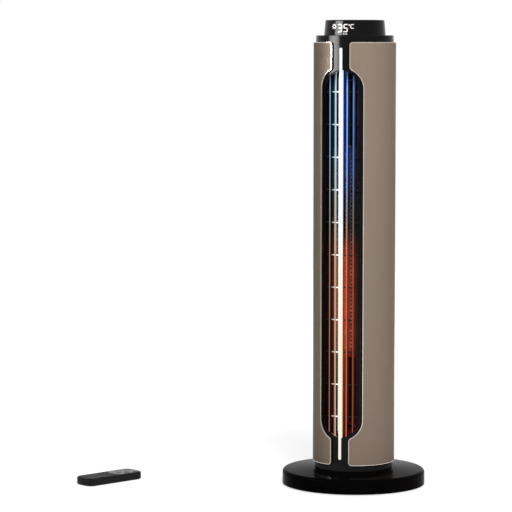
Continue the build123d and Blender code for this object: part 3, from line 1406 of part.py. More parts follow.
def battery_height():
    return LID_THICKNESS + LID_CLEARANCE + BATTERY_GAP + BATTERY_RADIUS


def remote_batteries():
    """Two small round cells side by side, head to tail."""
    cells = Part()
    align = (Align.CENTER, Align.CENTER, Align.MIN)
    for side in (-1, 1):
        y = side * (BATTERY_RADIUS + BATTERY_GAP / 2)
        cell = Cylinder(BATTERY_RADIUS, BATTERY_LENGTH, align=align)
        cell += Pos(0, 0, BATTERY_LENGTH) * Cylinder(BATTERY_TIP_RADIUS, BATTERY_TIP_LENGTH, align=align)
        start = BATTERY_START
        turn = 90
        if side < 0:
            start = BATTERY_START + BATTERY_LENGTH + BATTERY_TIP_LENGTH
            turn = -90
        cells += Pos(start, y, battery_height()) * Rot(0, turn, 0) * cell
    return laid(cells)


def remote_contacts():
    """Sheet metal contacts at both ends of the cells."""
    half = 2 * BATTERY_RADIUS
    low = battery_height() - CONTACT_HEIGHT / 2
    high = battery_height() + CONTACT_HEIGHT / 2
    tail = BATTERY_START - CONTACT_GAP
    head = BATTERY_START + BATTERY_LENGTH + BATTERY_TIP_LENGTH + CONTACT_GAP
    contacts = block(tail - CONTACT_THICKNESS, tail, -half, half, low, high)
    return laid(contacts + block(head, head + CONTACT_THICKNESS, -half, half, low, high))


def remote_battery_lid():
    """Sliding lid in the underside, rounded with the tail end."""
    return laid(remote_solid() & lid_box(0, LID_THICKNESS))


KEY_NAMES = ["power_key", "swing_key", "mode_key", "warmer_key", "cooler_key", "timer_key"]

PARTS = {
    "base_cover": base_cover,
    "base_plate": base_plate,
    "foot_ring": foot_ring,
    "ballast_ring": ballast_ring,
    "base_screws": base_screws,
    "cord_gland": cord_gland,
    "swing_motor": swing_motor,
    "swivel_washer": swivel_washer,
    "tip_switch_box": tip_switch_box,
    "tip_plunger": tip_plunger,
    "swing_pinion": swing_pinion,
    "tower_foot": tower_foot,
    "swing_sector": swing_sector,
    "swivel_retainer": swivel_retainer,
    "front_frame": front_frame,
    "front_grille": front_grille,
    "light_strip": light_strip,
    "light_board": light_board,
    "left_shell": left_shell,
    "right_shell": right_shell,
    "rear_housing": rear_housing,
    "housing_screws": housing_screws,
    "rocker_bezel": rocker_bezel,
    "power_rocker": power_rocker,
    "intake_grille": intake_grille,
    "dust_filter": dust_filter,
    "duct_floor": duct_floor,
    "duct_ceiling": duct_ceiling,
    "duct_left": duct_left,
    "duct_right": duct_right,
    "fan_wheel": fan_wheel,
    "fan_shaft": fan_shaft,
    "fan_motor": fan_motor,
    "motor_cushion": motor_cushion,
    "top_bearing": top_bearing,
    "ptc_frame": ptc_frame,
    "ptc_fins": ptc_fins,
    "ptc_stones": ptc_stones,
    "ptc_electrodes": ptc_electrodes,
    "thermal_cutout": thermal_cutout,
    "control_board": control_board,
    "top_deck": top_deck,
    "display_cap": display_cap,
    "display_module": display_module,
    "display_board": display_board,
    "remote_bottom": remote_bottom,
    "remote_top": remote_top,
    "remote_fascia": remote_fascia,
    "remote_board": remote_board,
    "remote_emitter": remote_emitter,
    "remote_batteries": remote_batteries,
    "remote_contacts": remote_contacts,
    "remote_battery_lid": remote_battery_lid,
}


def main():
    os.makedirs("parts", exist_ok=True)
    for name, make in PARTS.items():
        export_step(make(), f"parts/{name}.step")
    for name, spot in zip(KEY_NAMES, key_spots()):
        export_step(remote_key(spot), f"parts/{name}.step")


main()
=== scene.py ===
"""Tower heater with its remote control: finishes, fine marks and stage around the CAD frame."""

import json
import math

import bmesh
import bpy
from bpy.props import FloatProperty
from bpy.props import FloatVectorProperty
from bpy.props import IntProperty
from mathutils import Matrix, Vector


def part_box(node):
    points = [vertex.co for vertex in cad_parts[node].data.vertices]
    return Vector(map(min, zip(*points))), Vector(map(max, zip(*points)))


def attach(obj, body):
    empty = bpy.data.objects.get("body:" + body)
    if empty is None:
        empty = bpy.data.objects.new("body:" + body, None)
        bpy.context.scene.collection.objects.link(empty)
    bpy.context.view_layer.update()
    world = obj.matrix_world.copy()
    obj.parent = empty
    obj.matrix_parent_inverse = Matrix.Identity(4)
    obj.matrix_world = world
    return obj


bl_info = {
    "name": "Tower Heater Finishes",
    "version": (1, 0, 0),
    "blender": (4, 5, 0),
    "location": "3D View > Sidebar > Heater",
    "description": "Finishes, marks and stage for a tower fan heater",
    "category": "Object",
}

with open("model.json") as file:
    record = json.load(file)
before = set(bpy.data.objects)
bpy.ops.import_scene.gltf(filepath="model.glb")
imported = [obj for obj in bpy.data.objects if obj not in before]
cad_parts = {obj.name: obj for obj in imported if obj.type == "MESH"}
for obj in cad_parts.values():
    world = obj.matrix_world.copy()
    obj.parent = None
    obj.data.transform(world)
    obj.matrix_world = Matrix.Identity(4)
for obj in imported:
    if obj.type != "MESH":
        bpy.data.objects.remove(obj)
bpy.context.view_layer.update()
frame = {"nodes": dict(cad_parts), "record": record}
MM = 0.001


def mm(*values):
    return tuple(value * MM for value in values)


# Sizes of the shells, which the edge trims follow
SHELL_REACH = math.radians(118.0)
SHELL_END_ROUND = 5.0 * MM
NECK_HALF = 16.5 * MM
NECK_ROUND = 6.5 * MM
CUTOUT_HALF = 38.6 * MM
CUTOUT_ROUND = 36.0 * MM
CUTOUT_LENGTH = 646.6 * MM

# Sizes of the pieces that carry marks
CAP_TAPER = 2.3 * MM
ROCKER_DISH = 1.4 * MM
ON_MARK = mm(2.8, 5.2)
OFF_MARK = mm(-4.0, 1.2)
REMOTE_TURN = math.radians(65.4)
SCREW_HEAD_RADIUS = 69.5 * MM
SCREW_ANGLES = (math.radians(35.0), math.radians(145.0))
SCREW_HEIGHTS = mm(46.4, 94.5, 724.9, 773.0)
BASE_SCREW_COUNT = 6
BASE_SCREW_CIRCLE = 66.0 * MM
BASE_SCREW_LOW = 0.5 * MM

# How far each kind of mark starts below its surface and how far it stands out
EDGE_LAYER = mm(-0.15, 0.1)
DISPLAY_LAYER = mm(-0.15, 0.12)
TOUCH_LAYER = mm(-0.1, 0.02)
KEY_LAYER = mm(-0.1, 0.06)
ROCKER_LAYER = mm(-0.15, 0.06)
RECESS_LAYER = mm(-0.1, 0.03)

# Places that the lit surfaces and the painted light on the window's parts are told apart by
GLOW_RADIUS = 64.6 * MM
BAR_FRONT_RADIUS = 66.5 * MM
BAR_OFFSET = 11.0 * MM
SPINE_HALF = 4.9 * MM
RIB_FRONT_RADIUS = 65.0 * MM
WINDOW_LOW = 0.090
WINDOW_HIGH = 0.729
FIN_FRONT = 45.3 * MM
GLOW_SIDES = mm(4.0, 27.0)
GLOW_DEPTHS = mm(-10.0, 25.0)
GLOW_SOFT = 6.0 * MM
LIT_BARS_REACH = 2 * BAR_OFFSET + 3.0 * MM
LIT_BARS_TOP = (WINDOW_HIGH - 30.0 * MM, WINDOW_HIGH - 8.0 * MM)
RIB_LIGHT_LEFT = mm(-19.0, -9.0)
RIB_LIGHT_RIGHT = mm(-4.0, 4.0)
STRIP_ENDS = (0.052, 0.767)
CAP_WINDOW_DEPTHS = mm(-50.0, -30.0)
CAP_WINDOW_SIDES = mm(-30.0, 24.0)


def shade(red, green, blue):
    """Linear colour from the 0 to 255 values that a picture shows."""
    channels = []
    for value in (red, green, blue):
        part = value / 255
        if part > 0.04045:
            channels.append(((part + 0.055) / 1.055) ** 2.4)
        else:
            channels.append(part / 12.92)
    return tuple(channels)


def opaque(colour):
    return (colour[0], colour[1], colour[2], 1.0)


def colour_of(title, text, value):
    return FloatVectorProperty(name=title, description=text, subtype="COLOR", default=value)


def length_of(title, text, metres):
    return FloatProperty(name=title, description=text, default=metres, unit="LENGTH")


def angle_of(title, text, degrees):
    return FloatProperty(name=title, description=text, default=math.radians(degrees), subtype="ANGLE")


def power_of(title, text, watts):
    return FloatProperty(name=title, description=text, default=watts, unit="POWER")


def strength_of(title, text, value):
    return FloatProperty(name=title, description=text, default=value, min=0.0)


class HeaterFinish(bpy.types.PropertyGroup):
    """Colours of the outside."""

    shell: colour_of("Shell colour", "Satin metal of both side shells", shade(156, 139, 124))
    shell_deep: colour_of("Shell flecks", "Darker flecks in the metal finish", shade(140, 122, 106))
    gloss: colour_of("Gloss black", "Glossy mouldings of base, front and deck", shade(6, 5, 6))
    icon: colour_of("Icon ink", "Printed icons on keys and cap", shade(235, 238, 240))


class HeaterGlow(bpy.types.PropertyGroup):
    """Light in the window, painted as a glow on the parts behind the grille, and on the display."""

    cool: colour_of("Cool light", "Colour behind the upper grille", (0.004, 0.018, 0.21))
    warm: colour_of("Warm light", "Colour behind the lower grille", (0.34, 0.032, 0.006))
    change: length_of("Change height", "Height at which cool light gives way to warm light", 0.453)
    strip: strength_of("Strip strength", "Strength of the upright light strip", 0.9)


class HeaterDisplay(bpy.types.PropertyGroup):
    """Reading on the cap, and the widths of fine lines and edges."""

    reading: IntProperty(
        name="Reading",
        description="Temperature shown on the display",
        default=35,
        min=0,
        max=99,
    )
    height: length_of("Digit height", "Height of the digits between stroke centres", 12.2 * MM)
    stroke: length_of("Stroke width", "Width of the strokes of the digits", 1.9 * MM)
    icon_line: length_of("Icon line", "Line width of the printed icons", 0.55 * MM)
    # The edge trim is a polished strip whose near-white colour is a painted highlight along each shell's
    # edge
    trim: length_of("Edge trim", "Width of the polished edge around each shell", 0.9 * MM)


class HeaterStage(bpy.types.PropertyGroup):
    """Camera and lamps."""

    distance: length_of("Camera distance", "Level distance from the heater's axis", 4.27)
    height: length_of("Camera height", "Height above the floor", 0.777)
    turn: angle_of("Camera turn", "Angle from straight ahead, to the heater's left-hand side", 20.4)
    pan: angle_of("Camera pan", "Angle between the camera's aim and the heater's axis", 2.31)
    tilt: angle_of("Camera tilt", "Angle below level", 5.01)
    lens: FloatProperty(
        name="Lens",
        description="Focal length in millimetres",
        default=171.7,
        subtype="DISTANCE_CAMERA",
    )
    key_power: power_of("Key lamp", "Power of the large soft lamp in front", 52.0)
    side_power: power_of("Side lamp", "Power of the soft box at the left", 11.0)
    back_power: power_of("Back lamp", "Power of the weak lamp behind", 13.0)
    ambient: strength_of("Room light", "Strength of the even light of the room", 0.1)


# Node trees


class Tree:
    """Short ways to add and join nodes in one node tree."""

    def __init__(self, tree):
        self.tree = tree

    def node(self, kind, **settings):
        made = self.tree.nodes.new(kind)
        for name, value in settings.items():
            setattr(made, name, value)
        return made

    def feed(self, socket, value):
        """Link a socket to another one, or set its plain value."""
        if isinstance(value, bpy.types.NodeSocket):
            self.tree.links.new(value, socket)
        else:
            socket.default_value = value

    def filled(self, kind, values, **settings):
        """Add a node with values or links for its inputs, by name or by number."""
        made = self.node(kind, **settings)
        for title, value in values.items():
            self.feed(made.inputs[title], value)
        return made

    def place(self):
        return self.node("ShaderNodeTexCoord").outputs["Object"]

    def axes(self, vector):
        return self.filled("ShaderNodeSeparateXYZ", {0: vector}).outputs

    def stretch(self, vector, scale):
        return self.filled("ShaderNodeMapping", {"Vector": vector, "Scale": scale}).outputs["Vector"]

    def maths(self, operation, *values, clamp=False):
        made = self.node("ShaderNodeMath", operation=operation, use_clamp=clamp)
        for socket, value in zip(made.inputs, values):
            self.feed(socket, value)
        return made.outputs[0]

    def times(self, *values):
        """Product of two or more numbers."""
        product = values[0]
        for value in values[1:]:
            product = self.maths("MULTIPLY", product, value)
        return product

    def add(self, first, second, clamp=False):
        return self.maths("ADD", first, second, clamp=clamp)

    def radius(self, place):
        """Distance from the turning axis of the tower."""
        squares = self.add(self.times(place["X"], place["X"]), self.times(place["Y"], place["Y"]))
        return self.maths("SQRT", squares)

    def fit(self, value, low, high, to_low=0.0, to_high=1.0):
        """Map a range onto another one, held at its ends."""
        made = self.node("ShaderNodeMapRange", clamp=True)
        for socket, given in zip(made.inputs, (value, low, high, to_low, to_high)):
            self.feed(socket, given)
        return made.outputs[0]

    def band(self, value, low, high, soft):
        """One between two limits and zero outside."""
        up = self.fit(value, low - soft, low + soft)
        down = self.fit(value, high - soft, high + soft, 1.0, 0.0)
        return self.times(up, down)

    def noise(self, vector, scale, detail=2.0, roughness=0.5):
        values = {"Vector": vector, "Scale": scale, "Detail": detail, "Roughness": roughness}
        return self.filled("ShaderNodeTexNoise", values).outputs["Fac"]

    def cells(self, vector, scale):
        values = {"Vector": vector, "Scale": scale}
        return self.filled("ShaderNodeTexVoronoi", values, feature="F1").outputs["Distance"]

    def blend(self, factor, first, second, mode="MIX"):
        values = {0: factor, 6: first, 7: second}
        made = self.filled("ShaderNodeMix", values, data_type="RGBA", blend_type=mode, clamp_factor=True)
        return made.outputs[2]

    def tones(self, factor, first, second):
        """Blend of two plain colours."""
        return self.blend(factor, opaque(first), opaque(second))

    def dim(self, colour, factor):
        """Colour times a number between zero and one."""
        return self.blend(factor, (0.0, 0.0, 0.0, 1.0), colour)

    def ramp(self, factor, stops):
        made = self.node("ShaderNodeValToRGB")
        steps = made.color_ramp.elements
        while len(steps) < len(stops):
            steps.new(1.0)
        for step, (position, colour) in zip(steps, stops):
            step.position = position
            step.color = opaque(colour)
        self.feed(made.inputs["Fac"], factor)
        return made.outputs["Color"]

    def bump(self, height, distance):
        values = {"Height": height, "Distance": distance, "Strength": 1.0}
        return self.filled("ShaderNodeBump", values).outputs["Normal"]

    def group(self, tree, **values):
        return self.filled("ShaderNodeGroup", values, node_tree=tree).outputs


class Skin(Tree):
    """Node tree of a new material, with short ways to feed its surface."""

    def __init__(self, name):
        self.material = bpy.data.materials.new(name)
        self.material.use_nodes = True
        super().__init__(self.material.node_tree)
        self.surface = self.tree.nodes["Principled BSDF"].inputs

    def set(self, title, value):
        self.feed(self.surface[title], value)

    def paint(self, factor, first, second):
        """Base colour as a blend of two plain colours."""
        self.set("Base Color", self.tones(factor, first, second))

    def relief(self, height, depth, shine):
        """Fine relief, with its depth in millimetres, and level of shine."""
        self.set("Normal", self.bump(height, depth * MM))
        self.set("Specular IOR Level", shine)

    def glow(self, colour, strength):
        self.set("Emission Color", colour)
        self.set("Emission Strength", strength)


def new_group(name, inputs, outputs, kind="NodeSocketFloat"):
    """Empty node group with named number inputs and outputs of one kind."""
    made = bpy.data.node_groups.new(name, "ShaderNodeTree")
    for title, default in inputs.items():
        socket = made.interface.new_socket(title, in_out="INPUT", socket_type="NodeSocketFloat")
        socket.default_value = default
    for title in outputs:
        made.interface.new_socket(title, in_out="OUTPUT", socket_type=kind)
    tree = Tree(made)
    given = tree.node("NodeGroupInput")
    result = tree.node("NodeGroupOutput")
    return made, tree, given.outputs, result.inputs


def moulded_grain_group():
    """Fine grain of a moulded surface, with slow patches of tone."""
    made, tree, given, result = new_group("moulded_grain", {"Scale": 900.0}, ("Height", "Patch"))
    place = tree.place()
    pits = tree.cells(place, given["Scale"])
    fine = tree.noise(place, tree.times(given["Scale"], 0.6), 3.0)
    tree.feed(result["Height"], tree.add(pits, tree.times(fine, 0.6)))
    patch = tree.noise(place, 18.0, 4.0, 0.6)
    tree.feed(result["Patch"], tree.fit(patch, 0.35, 0.65))
    return made


def handling_marks_group():
    """Soft smears and fine dust that change how a surface shines."""
    numbers = {"Scale": 9.0, "Dust": 0.25}
    made, tree, given, result = new_group("handling_marks", numbers, ("Mask",))
    place = tree.place()
    smears = tree.noise(tree.stretch(place, (1.0, 1.0, 0.4)), given["Scale"], 5.0, 0.62)
    specks = tree.noise(place, 1400.0, 1.0)
    specks = tree.fit(specks, 0.68, 0.74)
    mask = tree.fit(smears, 0.38, 0.66)
    mask = tree.add(mask, tree.times(specks, given["Dust"]), clamp=True)
    tree.feed(result["Mask"], mask)
    return made


def metal_lines_group():
    """Fine drawn lines of worked metal, along the height of the heater or across it."""
    numbers = {"Across": 2600.0, "Along": 40.0}
    made, tree, given, result = new_group("metal_lines", numbers, ("Height", "Fleck"))
    place = tree.axes(tree.place())
    joined = tree.node("ShaderNodeCombineXYZ")
    for axis, density in (("X", "Across"), ("Y", "Across"), ("Z", "Along")):
        tree.feed(joined.inputs[axis], tree.times(place[axis], given[density]))
    tree.feed(result["Height"], tree.noise(joined.outputs[0], 1.0, 2.0, 0.6))
    fleck = tree.noise(tree.place(), 2200.0, 1.0)
    tree.feed(result["Fleck"], tree.fit(fleck, 0.42, 0.6))
    return made


def change_level(glow):
    """Share of the window's height at which cool light gives way to warm light."""
    return (glow.change - WINDOW_LOW) / (WINDOW_HIGH - WINDOW_LOW)


def window_glow_group(glow):
    """Painted light of the lamps inside, as a glow on the parts behind the grille: cool above, warm
    below, and weaker towards the sides.
    """
    numbers = {"Strength": 1.0, "Front": GLOW_RADIUS}
    made, tree, given, result = new_group("window_glow", numbers, ("Color",), "NodeSocketColor")
    place = tree.axes(tree.place())
    inside = tree.maths("LESS_THAN", tree.radius(place), given["Front"])
    level = tree.fit(place["Z"], WINDOW_LOW, WINDOW_HIGH)
    middle = change_level(glow)
    warm = Vector(glow.warm)
    cool = Vector(glow.cool)
    stops = [
        (0.0, warm * 0.25),
        (0.16, warm * 0.55),
        (0.32, warm * 0.95),
        (middle - 0.08, warm * 0.8),
        (middle - 0.02, warm * 0.1),
        (middle + 0.01, warm * 0.01),
        (middle + 0.08, cool * 0.1),
        (middle + 0.18, cool * 0.6),
        (0.88, cool),
        (1.0, cool * 0.6),
    ]
    colour = tree.ramp(level, stops)
    side = tree.maths("ABSOLUTE", place["X"])
    near = tree.fit(side, *GLOW_SIDES, 1.0, 0.1)
    between = tree.band(place["Z"], WINDOW_LOW, WINDOW_HIGH, GLOW_SOFT)
    forward = tree.fit(place["Y"], *GLOW_DEPTHS, 1.0, 0.0)
    factor = tree.times(near, inside, between, forward, given["Strength"])
    tree.feed(result["Color"], tree.dim(colour, factor))
    return made


# Finishes of moulded pieces: two tones as a picture shows them, range of roughness, grain per metre,
# grain depth in millimetres, level of shine and share of painted light from the lamps inside
MOULDED = {
    "matte_black": ((16, 16, 17), (24, 24, 25), (0.5, 0.66), 1500.0, 0.05, 0.14, 0.0),
    "rubber": ((20, 20, 20), (34, 33, 32), (0.74, 0.9), 700.0, 0.06, 0.3, 0.0),
    "white_acetal": ((222, 219, 208), (206, 202, 190), (0.34, 0.5), 800.0, 0.02, 0.4, 0.0),
    "duct_grey": ((16, 16, 18), (24, 24, 26), (0.5, 0.68), 700.0, 0.05, 0.12, 0.3),
    "heat_proof_plastic": ((20, 17, 16), (34, 30, 27), (0.5, 0.7), 600.0, 0.06, 0.15, 0.5),
    "ceramic_stone": ((46, 42, 38), (30, 27, 25), (0.7, 0.9), 500.0, 0.09, 0.1, 0.6),
    "thermal_plastic": ((40, 22, 17), (54, 30, 22), (0.45, 0.6), 800.0, 0.03, 0.4, 0.0),
    "fan_plastic": ((14, 14, 16), (22, 22, 25), (0.42, 0.6), 900.0, 0.03, 0.15, 0.2),
    "display_dark": ((16, 16, 19), (28, 28, 34), (0.2, 0.34), 900.0, 0.01, 0.5, 0.0),
    "remote_black": ((10, 10, 11), (27, 27, 28), (0.5, 0.7), 1150.0, 0.12, 0.15, 0.0),
    "emitter_tint": ((36, 10, 14), (60, 18, 24), (0.08, 0.16), 400.0, 0.01, 0.5, 0.0),
    "key_grey": ((118, 121, 124), (136, 139, 142), (0.42, 0.56), 1300.0, 0.05, 0.4, 0.0),
    # The recess finish is painted shade for the hollows of the screw recesses
    "recess_black": ((12, 12, 13), (24, 24, 25), (0.6, 0.8), 900.0, 0.03, 0.2, 0.0),
}

# Finishes of worked metal: the same, with lines per metre across and along, line depth,
# share of painted light from the lamps inside and how metallic it looks
WORKED = {
    "cast_weight": ((92, 92, 90), (58, 54, 50), (0.5, 0.74), 300.0, 300.0, 0.12, 0.0, 0.7),
    "steel": ((176, 178, 180), (134, 136, 140), (0.24, 0.42), 3000.0, 60.0, 0.015, 0.0, 0.9),
    "zinc_steel": ((104, 106, 110), (70, 72, 76), (0.4, 0.6), 240.0, 240.0, 0.03, 0.3, 0.35),
    "bearing_brass": ((196, 158, 92), (150, 112, 58), (0.24, 0.44), 3000.0, 60.0, 0.01, 0.0, 0.9),
    "fin_aluminium": ((112, 114, 118), (74, 76, 80), (0.4, 0.6), 60.0, 2600.0, 0.02, 0.8, 0.35),
    # The polished edge's near-white tones are a painted highlight along the shells' edges
    "polished_edge": ((236, 230, 222), (204, 196, 186), (0.16, 0.3), 60.0, 3000.0, 0.006, 0.0, 0.85),
}


# Nodes whose finish is not the one of their slot
OWN_FINISHES = {"base_cover": "base_black"}


class Finishes:
    """Builds each finish once and hands it out by name."""

    def __init__(self, scene):
        self.colours = scene.heater_finish
        self.glow = scene.heater_glow
        self.grain = moulded_grain_group()
        self.marks = handling_marks_group()
        self.lines = metal_lines_group()
        self.window = window_glow_group(self.glow)
        self.made = {}

    def get(self, name):
        if name not in self.made:
            self.made[name] = self.build(name)
        return self.made[name]

    def build(self, name):
        tree = Skin(name)
        if name in MOULDED:
            self.moulded(tree, *MOULDED[name])
        elif name in WORKED:
            self.worked(tree, *WORKED[name])
        else:
            getattr(self, name)(tree)
        return tree.material

    def roughness(self, tree, low, high, scale=9.0, dust=0.25):
        mask = tree.group(self.marks, Scale=scale, Dust=dust)["Mask"]
        tree.set("Roughness", tree.fit(mask, 0.0, 1.0, low, high))
        return mask

    def light(self, tree, strength):
        """Paint the light of the lamps inside onto the parts behind the grille, as their own glow."""
        colour = tree.group(self.window, Strength=strength)["Color"]
        tree.glow(colour, 1.0)
        return colour

    def moulded(self, tree, first, second, rough, scale, depth, shine, glow):
        grain = tree.group(self.grain, Scale=scale)
        mask = self.roughness(tree, *rough)
        tone = tree.times(tree.add(grain["Patch"], mask), 0.5)
        tree.paint(tone, shade(*first), shade(*second))
        tree.relief(grain["Height"], depth, shine)
        # Parts behind the grille get painted light of the lamps inside
        if glow > 0:
            self.light(tree, glow)

    def worked(self, tree, first, second, rough, across, along, depth, glow, metallic):
        lines = tree.group(self.lines, Across=across, Along=along)
        self.roughness(tree, *rough)
        tone = tree.times(tree.add(lines["Height"], lines["Fleck"]), 0.5)
        tree.paint(tone, shade(*first), shade(*second))
        tree.relief(lines["Height"], depth, 0.3)
        tree.set("Metallic", metallic)
        # Parts behind the grille get painted light of the lamps inside, and painted glints on the fin
        # edges
        if glow > 0:
            self.fin_edges(tree, self.light(tree, glow))

    def fin_edges(self, tree, colour):
        """Painted highlights on the front edges of the fins, in uneven spots."""
        place = tree.place()
        depth = tree.times(tree.axes(place)["Y"], -1.0)
        edge = tree.fit(depth, FIN_FRONT - 0.5 * MM, FIN_FRONT + 0.3 * MM)
        spots = tree.fit(tree.noise(place, 160.0, 2.0), 0.42, 0.62)
        painted_glint = tree.blend(1.0, colour, (4.2, 5.0, 4.0, 1.0), "MULTIPLY")
        both = tree.times(edge, spots)
        tree.set("Emission Color", tree.blend(both, colour, painted_glint))

    def gloss_black(self, tree, shine=0.1):
        """Polished black moulding with faint smears."""
        mask = self.roughness(tree, 0.1, 0.2, 11.0, 0.35)
        grain = tree.group(self.grain, Scale=60.0)
        tone = tree.times(mask, tree.add(grain["Patch"], 0.3))
        tree.paint(tone, self.colours.gloss, shade(12, 10, 9))
        tree.relief(grain["Height"], 0.006, shine)

    def base_black(self, tree):
        """The same moulding on the base, where it lies flat and shines less."""
        self.gloss_black(tree, 0.005)

    def smoked_cap(self, tree):
        """Dark glossy cap, a little lighter where the display stands behind it."""
        mask = self.roughness(tree, 0.05, 0.13, 14.0, 0.4)
        place = tree.axes(tree.place())
        front = tree.fit(place["Y"], *CAP_WINDOW_DEPTHS, 1.0, 0.0)
        window = tree.times(front, tree.band(place["X"], *CAP_WINDOW_SIDES, 4.0 * MM))
        tone = tree.add(tree.times(mask, 0.25), tree.times(window, 0.4), clamp=True)
        tree.paint(tone, shade(6, 5, 6), shade(14, 12, 12))
        grain = tree.group(self.grain, Scale=50.0)
        tree.relief(grain["Height"], 0.004, 0.11)

    def taupe_metal(self, tree):
        """Satin metal lacquer with very fine flecks and a soft sheen."""
        fleck = tree.group(self.lines, Across=900.0, Along=900.0)["Fleck"]
        mask = self.roughness(tree, 0.34, 0.46, 6.0, 0.1)
        grain = tree.group(self.grain, Scale=1800.0)
        tone = tree.add(tree.times(fleck, 0.7), tree.times(mask, 0.2), clamp=True)
        tree.paint(tone, self.colours.shell, self.colours.shell_deep)
        tree.set("Metallic", tree.fit(fleck, 0.0, 1.0, 0.0, 0.08))
        tree.relief(grain["Height"], 0.012, 0.015)

    def grille_black(self, tree):
        """Black bars with painted light: painted highlights on their fronts, painted window light on
        their sides and a painted spill of the strip's light on the ribs beside it.
        """
        self.roughness(tree, 0.32, 0.44)
        grain = tree.group(self.grain, Scale=700.0)
        tree.paint(grain["Patch"], shade(10, 10, 11), shade(20, 19, 20))
        tree.relief(grain["Height"], 0.015, 0.04)
        place = tree.axes(tree.place())
        radius = tree.radius(place)
        side = tree.maths("ABSOLUTE", place["X"])
        level = tree.fit(place["Z"], WINDOW_LOW, WINDOW_HIGH)
        middle = change_level(self.glow)
        # Painted highlight colours of the bar fronts by height, whiter on the left and bluer on the
        # right
        left_bar_highlight = [
            (0.0, shade(196, 120, 96)),
            (middle - 0.06, shade(214, 160, 108)),
            (middle + 0.06, shade(190, 188, 170)),
            (middle + 0.2, shade(170, 214, 226)),
            (1.0, shade(180, 226, 248)),
        ]
        right_bar_highlight = [
            (0.0, shade(186, 84, 62)),
            (middle - 0.06, shade(206, 106, 70)),
            (middle + 0.04, shade(150, 140, 130)),
            (middle + 0.2, shade(112, 168, 232)),
            (1.0, shade(140, 190, 250)),
        ]
        on_right = tree.maths("GREATER_THAN", place["X"], 0.0)
        line = tree.blend(on_right, tree.ramp(level, left_bar_highlight), tree.ramp(level, right_bar_highlight))
        # Mask of the painted highlights: bar fronts, weaker on the outer bars and fading near the top
        front = tree.fit(radius, BAR_FRONT_RADIUS, BAR_FRONT_RADIUS + 0.5 * MM)
        weak = tree.fit(side, BAR_OFFSET + 3.0 * MM, 2 * BAR_OFFSET - 2.0 * MM, 0.75, 0.36)
        within = tree.maths("LESS_THAN", side, LIT_BARS_REACH)
        reach = tree.fit(place["Z"], *LIT_BARS_TOP, 1.0, 0.15)
        bar_highlight_mask = tree.times(tree.times(front, weak), tree.times(within, reach))
        # Painted window light on the bars' sides, stronger along the flanks of the spine
        glow = tree.group(self.window, Strength=1.0, Front=BAR_FRONT_RADIUS)["Color"]
        painted_flank_light = tree.band(side, SPINE_HALF - 0.1 * MM, SPINE_HALF + 0.3 * MM, 0.05 * MM)
        glow = tree.dim(glow, tree.fit(painted_flank_light, 0.0, 1.0, 0.08, 0.9))
        # Painted spill of the strip's white light on the rib fronts left of the strip, away from the
        # spine and bars
        rib = tree.band(radius, RIB_FRONT_RADIUS - 0.3 * MM, RIB_FRONT_RADIUS + 0.5 * MM, 0.1 * MM)
        rib_left = tree.fit(place["X"], *RIB_LIGHT_LEFT)
        rib_right = tree.fit(place["X"], *RIB_LIGHT_RIGHT, 1.0, 0.006)
        painted_rib_spill = tree.times(rib, tree.times(rib_left, rib_right))
        off_spine = tree.maths("GREATER_THAN", side, SPINE_HALF + 0.1 * MM)
        from_bar = tree.maths("ABSOLUTE", tree.maths("SUBTRACT", side, BAR_OFFSET))
        painted_rib_spill = tree.times(painted_rib_spill, off_spine, tree.fit(from_bar, 0.9 * MM, 1.2 * MM))
        colour = tree.blend(painted_rib_spill, glow, opaque(shade(236, 240, 244)))
        tree.glow(tree.blend(bar_highlight_mask, colour, line), 1.5)

    def light_opal(self, tree):
        """Opal strip, cool white above and warm white below."""
        place = tree.place()
        level = tree.fit(tree.axes(place)["Z"], *STRIP_ENDS)
        stops = [
            (0.0, shade(255, 248, 232)),
            (0.25, shade(255, 242, 208)),
            (0.48, shade(255, 246, 230)),
            (0.62, shade(246, 252, 255)),
            (1.0, shade(238, 252, 255)),
        ]
        colour = tree.ramp(level, stops)
        lamps = tree.fit(tree.noise(place, 60.0, 1.0), 0.3, 0.7, 0.96, 1.0)
        tree.glow(tree.dim(colour, lamps), self.glow.strip)
        mask = self.roughness(tree, 0.3, 0.42)
        tree.paint(mask, shade(70, 70, 70), shade(56, 57, 58))

    def circuit_board(self, tree):
        """Green board with tracks, pads and a solder sheen."""
        place = tree.place()
        values = {"Vector": tree.stretch(place, (1.0, 1.0, 1.4)), "Scale": 130.0, "Mortar Size": 0.03}
        values["Color1"] = opaque(shade(18, 70, 40))
        values["Color2"] = opaque(shade(24, 86, 50))
        values["Mortar"] = opaque(shade(66, 120, 66))
        bricks = tree.filled("ShaderNodeTexBrick", values, offset=0.37, squash=0.6)
        pads = tree.fit(tree.cells(place, 260.0), 0.16, 0.2, 1.0, 0.0)
        tree.set("Base Color", tree.blend(pads, bricks.outputs["Color"], opaque(shade(190, 190, 184))))
        tree.set("Metallic", tree.times(pads, 0.8))
        self.roughness(tree, 0.3, 0.5)
        tree.set("Normal", tree.bump(bricks.outputs["Fac"], 0.05 * MM))

    def filter_mesh(self, tree):
        """Fine woven mesh of the dust filter, with loose dust."""
        place = tree.place()
        waves = []
        for axis in ("X", "Z"):
            values = {"Vector": place, "Scale": 260.0}
            wave = tree.filled("ShaderNodeTexWave", values, bands_direction=axis)
            waves.append(wave.outputs["Fac"])
        threads = tree.maths("MAXIMUM", *waves)
        dust = tree.fit(tree.noise(place, 26.0, 5.0, 0.7), 0.4, 0.75)
        tones = tree.tones(threads, shade(18, 18, 19), shade(62, 62, 64))
        tones = tree.blend(tree.times(dust, 0.35), tones, opaque(shade(120, 114, 104)))
        tree.set("Base Color", tones)
        tree.set("Normal", tree.bump(threads, 0.2 * MM))
        self.roughness(tree, 0.6, 0.85)

